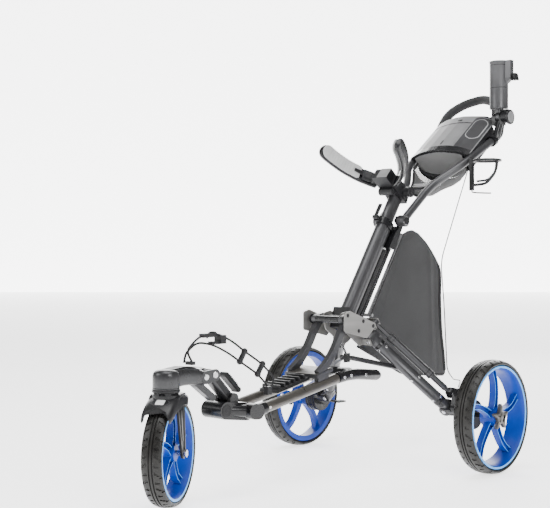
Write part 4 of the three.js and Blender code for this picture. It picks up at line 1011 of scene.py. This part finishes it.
# ---- Front hinge block and latch ----
# A glossy black casting with a rounded nose joins the lower tubes and carries the front arm's pin.
# The knurled latch beside it holds the arm down.
recast("hinge_block", gloss_black, edge=0.0055, turn=30)
for side, s in (("left", -1), ("right", 1)):
    elbow = rounded([at(s * x, y, z) for x, y, z in ((45, -556, 198.4), (44.5, -590, 194), (26, -634, 198),
                                                     (8, -668, 201))], 0.03, 8)
    settle(tube_shape(elbow, 0.0148, 10, smooth=False), f"{side}_hinge_block_arm", "lower_frame", gloss_black,
           "black_plastic", turn=50)
ribs = bmesh.new()
for s in (-1, 1):
    bar(ribs, at(s * 32, -668, 201), at(s * 33.4, -668, 201), 0.0155, 0.0145, sides=40)
    bar(ribs, at(s * 32, -668, 201), at(s * 34.2, -668, 201), 0.0055, 0.0045, sides=24)
    for i in range(3):
        y = -645 + i * 11
        loft(ribs, [[at(s * x, y + a, z + b) for a, b in ((-2.4, -7), (2.4, -9), (4.4, 9), (-0.4, 11))]
                    for x, z in ((31.6, 200), (33.2, 200))])
settle(ribs, "hinge_block_ribs", "lower_frame", black, "black_plastic", edge=0.0006)
recast("front_latch", black, edge=0.0042)
knurl = bmesh.new()
for i in range(7):
    t = 0.25 + i * 0.1
    y, z = -566 - 40 * t, 236 + 38 * t
    n = Vector((0, 0.69, 0.725))
    p = at(0, y, z) + n * 0.0067
    bar(knurl, Vector((at(-49, y, z).x, p.y, p.z)), Vector((at(-27, y, z).x, p.y, p.z)), 0.0013, sides=12)
settle(knurl, "front_latch_knurl", "latch", black, "black_plastic")

# ---- Front arm ----
# A charcoal die casting from the hinge block's link to the steering head, with a recessed dark top panel.
# The link that props it has rounded ends and an oval inlay on each side.
arm_coat = finish("arm_coat", (0.034, 0.034, 0.036), 0.3, 0.45, grain=420, depth=0.25, scuffs=0.06)


def beam(shape, stations, tilt_at=0.0):
    """A beam of soft-cornered sections: each gives y, z, half its width and half its height in millimetres."""
    rings = []
    for y, z, wide, high in stations:
        ring = []
        for i in range(32):
            a = 2 * math.pi * i / 32
            c, q = blunt(math.cos(a), 0.6) * wide, blunt(math.sin(a), 0.6) * high
            ring.append(at(c, y + q * math.sin(tilt_at), z + q * math.cos(tilt_at)))
        rings.append(ring)
    loft(shape, rings)


arm = bmesh.new()
loft(arm, [[at(r * math.cos(math.pi * i / 24), steer_y + r * math.sin(math.pi * i / 24), z) for i in range(48)]
           for z, r in ((262, 29), (263.5, 30), (293, 30), (299, 28.4), (303, 24.5), (305.4, 18), (306.2, 9))])
beam(arm, ((-822, 284, 26, 20), (-806, 285.5, 25, 21.5), (-790, 287.5, 23, 21.5), (-770, 287, 22, 20.5),
           (-745, 284.5, 22, 20), (-728, 281, 21.6, 18), (-714, 277.5, 18.6, 13.5)))
cheek = ((-722, 281, 15), (-693, 284, 14))
for x0, x1, ends in ((16.6, 22, cheek), (-22, -16.6, cheek), (-9, 9, ((-738, 268, 8), (-688, 232, 8)))):
    absorb(arm, hull([(32, r, at(x, y, z)) for y, z, r in ends for x in (x0, x1)]))
settle(arm, "front_arm_made", "nose", arm_coat, "charcoal_metal", "front_arm", edge=0.001, turn=40)
prop = bmesh.new()
prop_foot, prop_head = Vector((-636, 226)), Vector((-693, 284))
length = (prop_head - prop_foot).length
run = (prop_head - prop_foot).normalized()
swing = math.atan2(run.y, -run.x)
stations = [(-13, 13, 4), (-11, 14.5, 8), (-6, 15.6, 11.6), (0, 16, 13), (1, 16, 13)]
stations += [(length - d, w, h) for d, w, h in reversed(stations)]
beam(prop, [(*(prop_foot + run * d), w, h) for d, w, h in stations], tilt_at=math.pi / 2 - swing)
settle(prop, "diagonal_link_made", "nose", arm_coat, "charcoal_metal", "diagonal_link", edge=0, turn=40)
collar = bmesh.new()
for low, high, r in ((256.2, 262, 0.0312), (264.5, 266.5, 0.0305)):
    bar(collar, at(0, steer_y, low), at(0, steer_y, high), r, sides=72)
settle(collar, "steering_head_collar", "nose", black, "black_plastic", edge=0.0007)
panel = bmesh.new()
loft(panel, [[at(x, y, z) for x in (-15, 15)] + [at(x, y, z - 1.2) for x in (15, -15)]
             for y, z in ((-832, 305.0), (-785, 309.8), (-728, 304.6))])
settle(panel, "front_arm_top_panel", "nose", black, "black_plastic", edge=0.001)
for name, s in (("left", -1), ("right", 1)):
    oval = hull([(24, r, at(s * x, y, z)) for y, z in ((-684, 275), (-652, 241))
                 for x, r in ((16.1, 6.5), (16.9, 5.5))])
    settle(oval, f"{name}_link_oval", "nose", black, "black_plastic", edge=0.0004)
    bolt = bmesh.new()
    bar(bolt, at(s * 22, -722, 282), at(s * 23.4, -722, 282), 0.0075, 0.006, sides=28)
    bar(bolt, at(s * 22, -694, 284.5), at(s * 23.8, -694, 284.5), 0.0085, 0.007, sides=6)
    settle(bolt, f"{name}_arm_bolts", "nose", bright, "bright_steel", edge=0.0004)

# ---- Elastic cord ladder ----
# Two black elastic cords side by side from the front arm's top to a clip on the right lower tube.
# Round spacers and a hook buckle hold them apart; they strap down the foot of a golf bag.
cord_up = [(8, -752, 314), (0, -764, 342), (0, -724, 374), (4, -672, 378), (12, -628, 356), (20, -597, 332),
           (33, -550, 300), (43, -518, 264), (46, -535, 241)]
cord_down = [(-8, -764, 316), (0, -766, 338), (0, -732, 360), (3, -684, 352), (10, -640, 330), (16, -609, 309),
             (29, -562, 277), (38, -542, 252), (42, -540, 239)]
elastic = finish("elastic_braid", (0.012, 0.012, 0.013), 0.6, grain=1600, depth=0.7)
strands = []
for name, knots in (("upper", cord_up), ("lower", cord_down)):
    path = rounded([at(*p) for p in knots], 0.03, 8)
    strands.append((name, settle(tube_shape(path, 0.0026, 4, smooth=False), f"{name}_elastic_cord", "lower_frame",
                                 elastic, "black_plastic", turn=60), path))
parts = bmesh.new()
for i, big in ((5, 6.4), (6, 6.4)):
    a, b = at(*cord_up[i]), at(*cord_down[i])
    bar(parts, a, b, big / 1000, sides=24)
    for p in (a, b):
        bmesh.ops.create_uvsphere(parts, u_segments=20, v_segments=12, radius=0.0078, matrix=Matrix.Translation(p))
for p, size in (((2, -700, 374), (15, 40, 9)), ((3, -660, 363), (22, 18, 20)), ((3, -676, 356), (14, 34, 7)),
                ((0, -752, 314.6), (22, 11, 8)), ((44, -543, 238), (13, 15, 19))):
    box(parts, Matrix.Translation(at(*p)), [d / 1000 for d in size])
hook = rounded([at(3, y, z) for y, z in ((-704, 369), (-694, 380), (-676, 379), (-668, 370))], 0.008)
absorb(parts, tube_shape(hook, 0.0034, 5, smooth=False))
settle(parts, "elastic_cord_fittings", "lower_frame", black, "black_plastic", "bungee_strap", edge=0.0014)

# ---- Fork and front wheel ----
# A black moulded fork turns in the steering head: a hood over the tyre with an oval badge recess, left plain,
# and a tapered blade on each side down to the axle.
turn_front = Matrix.Translation(at(0, steer_y, 0)) @ Matrix.Rotation(math.radians(27.8), 4, "Z")
make_wheel("front", turn_front @ Matrix.Translation((0, front_trail / 1000, front_r / 1000)), "front_wheel", front_r,
           48, 20)
fork_black = finish("fork_nylon", (0.013, 0.013, 0.014), 0.33, grain=500, depth=0.3, scuffs=0.08)


def on_fork(x, y, z):
    """Millimetres from the steering stem's foot, turned with the front wheel."""
    return turn_front @ Vector((x / 1000, y / 1000, z / 1000))


def on_rim(x, reach, angle):
    """Millimetres sideways and out from the front axle, at an angle up from the rear."""
    return on_fork(x, front_trail + reach * math.cos(angle), front_r + reach * math.sin(angle))


hood_r = 131
outer_edge = [(25, 130.6), (32.5, 128), (35.4, 122), (35.5, 106)]
inner_edge = [(32.4, 106), (32.2, 120.5), (29, 125), (24, 126.6)]
hood_edge = [*((-x, r) for x, r in reversed(outer_edge)), (0, hood_r), *outer_edge,
             *inner_edge, (0, hood_r - 4), *((-x, r) for x, r in reversed(inner_edge))]
rings = []
for i in range(21):
    short = 1 - 0.10 * max(0, (i - 16) / 4) ** 2
    ring = []
    for x, r in hood_edge:
        a = math.radians(76 + i / 20 * (48 + 15 * (abs(x) / 35.5) ** 3))
        reach = r + (0 if r > 110 else 8 * max(0, (i - 10) / 10) ** 2)
        ring.append(on_rim(x * short, reach, a))
    rings.append(ring)
settle(loft(bmesh.new(), rings), "fork_hood", "steering", fork_black, "black_plastic", "fork", edge=0.0012, turn=50)
crown = bmesh.new()
for z0, z1, r0, r1 in ((238, 247, 0.0295, 0.0305), (247, 251.6, 0.0305, 0.0305), (251.6, 255.2, 0.0282, 0.0282)):
    bar(crown, on_fork(0, 0, z0), on_fork(0, 0, z1), r0, r1, sides=72)
box(crown, turn_front @ Matrix.Translation((0, 0.028, 0.2475)), (0.06, 0.036, 0.007))
settle(crown, "fork_crown", "steering", fork_black, "black_plastic", edge=0.0018, turn=30)
for name, s in (("left", -1), ("right", 1)):
    blade = hull([(36, r, (s * x / 1000, y / 1000, z / 1000)) for x in (29.4, 35.2)
                  for y, z, r in ((2, 228, 23), (20, 120, 12))], turn_front)
    bmesh.ops.dissolve_limit(blade, angle_limit=math.radians(1), verts=blade.verts, edges=blade.edges)
    bmesh.ops.recalc_face_normals(blade, faces=blade.faces)
    outer = max(blade.faces, key=lambda f: s * (turn_front.inverted() @ f.calc_center_median()).x * f.calc_area())
    bmesh.ops.inset_region(blade, faces=[outer], thickness=0.0045, depth=0)
    bmesh.ops.inset_region(blade, faces=[outer], thickness=0.0008, depth=-0.0026)
    settle(blade, f"{name}_fork_blade", "steering", fork_black, "black_plastic", edge=0.0008, turn=40)
    slot = hull([(20, r, (s * x / 1000, y / 1000, z / 1000)) for y, z, r in ((5, 214, 3.6), (15, 150, 2.6))
                 for x in (32.5, 34.4)], turn_front)
    settle(slot, f"{name}_blade_rib", "steering", charcoal, "charcoal_metal", edge=0.0006, turn=40)
recast("front_axle", bright, edge=0.0004)


badge_angle, badge_thick = math.radians(116), 0.002


def hood_patch(name, width, height, lift, skin, slot, power=2):
    """A badge or recess rim that follows the front of the hood, oval or square."""
    shape = bmesh.new()
    bmesh.ops.create_circle(shape, segments=48, radius=1, cap_ends=True)
    for v in shape.verts:
        a = math.atan2(v.co.y, v.co.x)
        x, along = blunt(math.cos(a), 2 / power) * width, blunt(math.sin(a), 2 / power) * height
        v.co = on_rim(x, hood_r + lift, badge_angle - along / hood_r)
    out = (on_rim(0, 1, badge_angle) - on_rim(0, 0, 0)).normalized()
    thicken(shape, -out * badge_thick)
    return settle(shape, name, "steering", skin, slot, edge=0.0003, turn=40)


hood_patch("fork_badge_rim", 22, 12.5, 0.5, charcoal, "charcoal_metal")
hood_patch("fork_badge_recess", 19, 10.5, 0.8, black, "black_plastic")
white_label = finish("plain_white_label", (0.8, 0.8, 0.8), 0.5, grain=500, depth=0.05, mottle=0.03)
hood_patch("fork_plain_badge", 10, 9, 1.1, white_label, "pale_pad", 9)
slots_dark = bmesh.new()
for a in (-62, -112):
    b = math.radians(a)
    place = Matrix.Translation((0.0292 * math.cos(b), 0.0292 * math.sin(b), 0.2532)) @ Matrix.Rotation(b, 4, "Z")
    box(slots_dark, turn_front @ place, (0.003, 0.014, 0.005))
settle(slots_dark, "fork_crown_slots", "steering", black, "black_plastic", edge=0.0004)
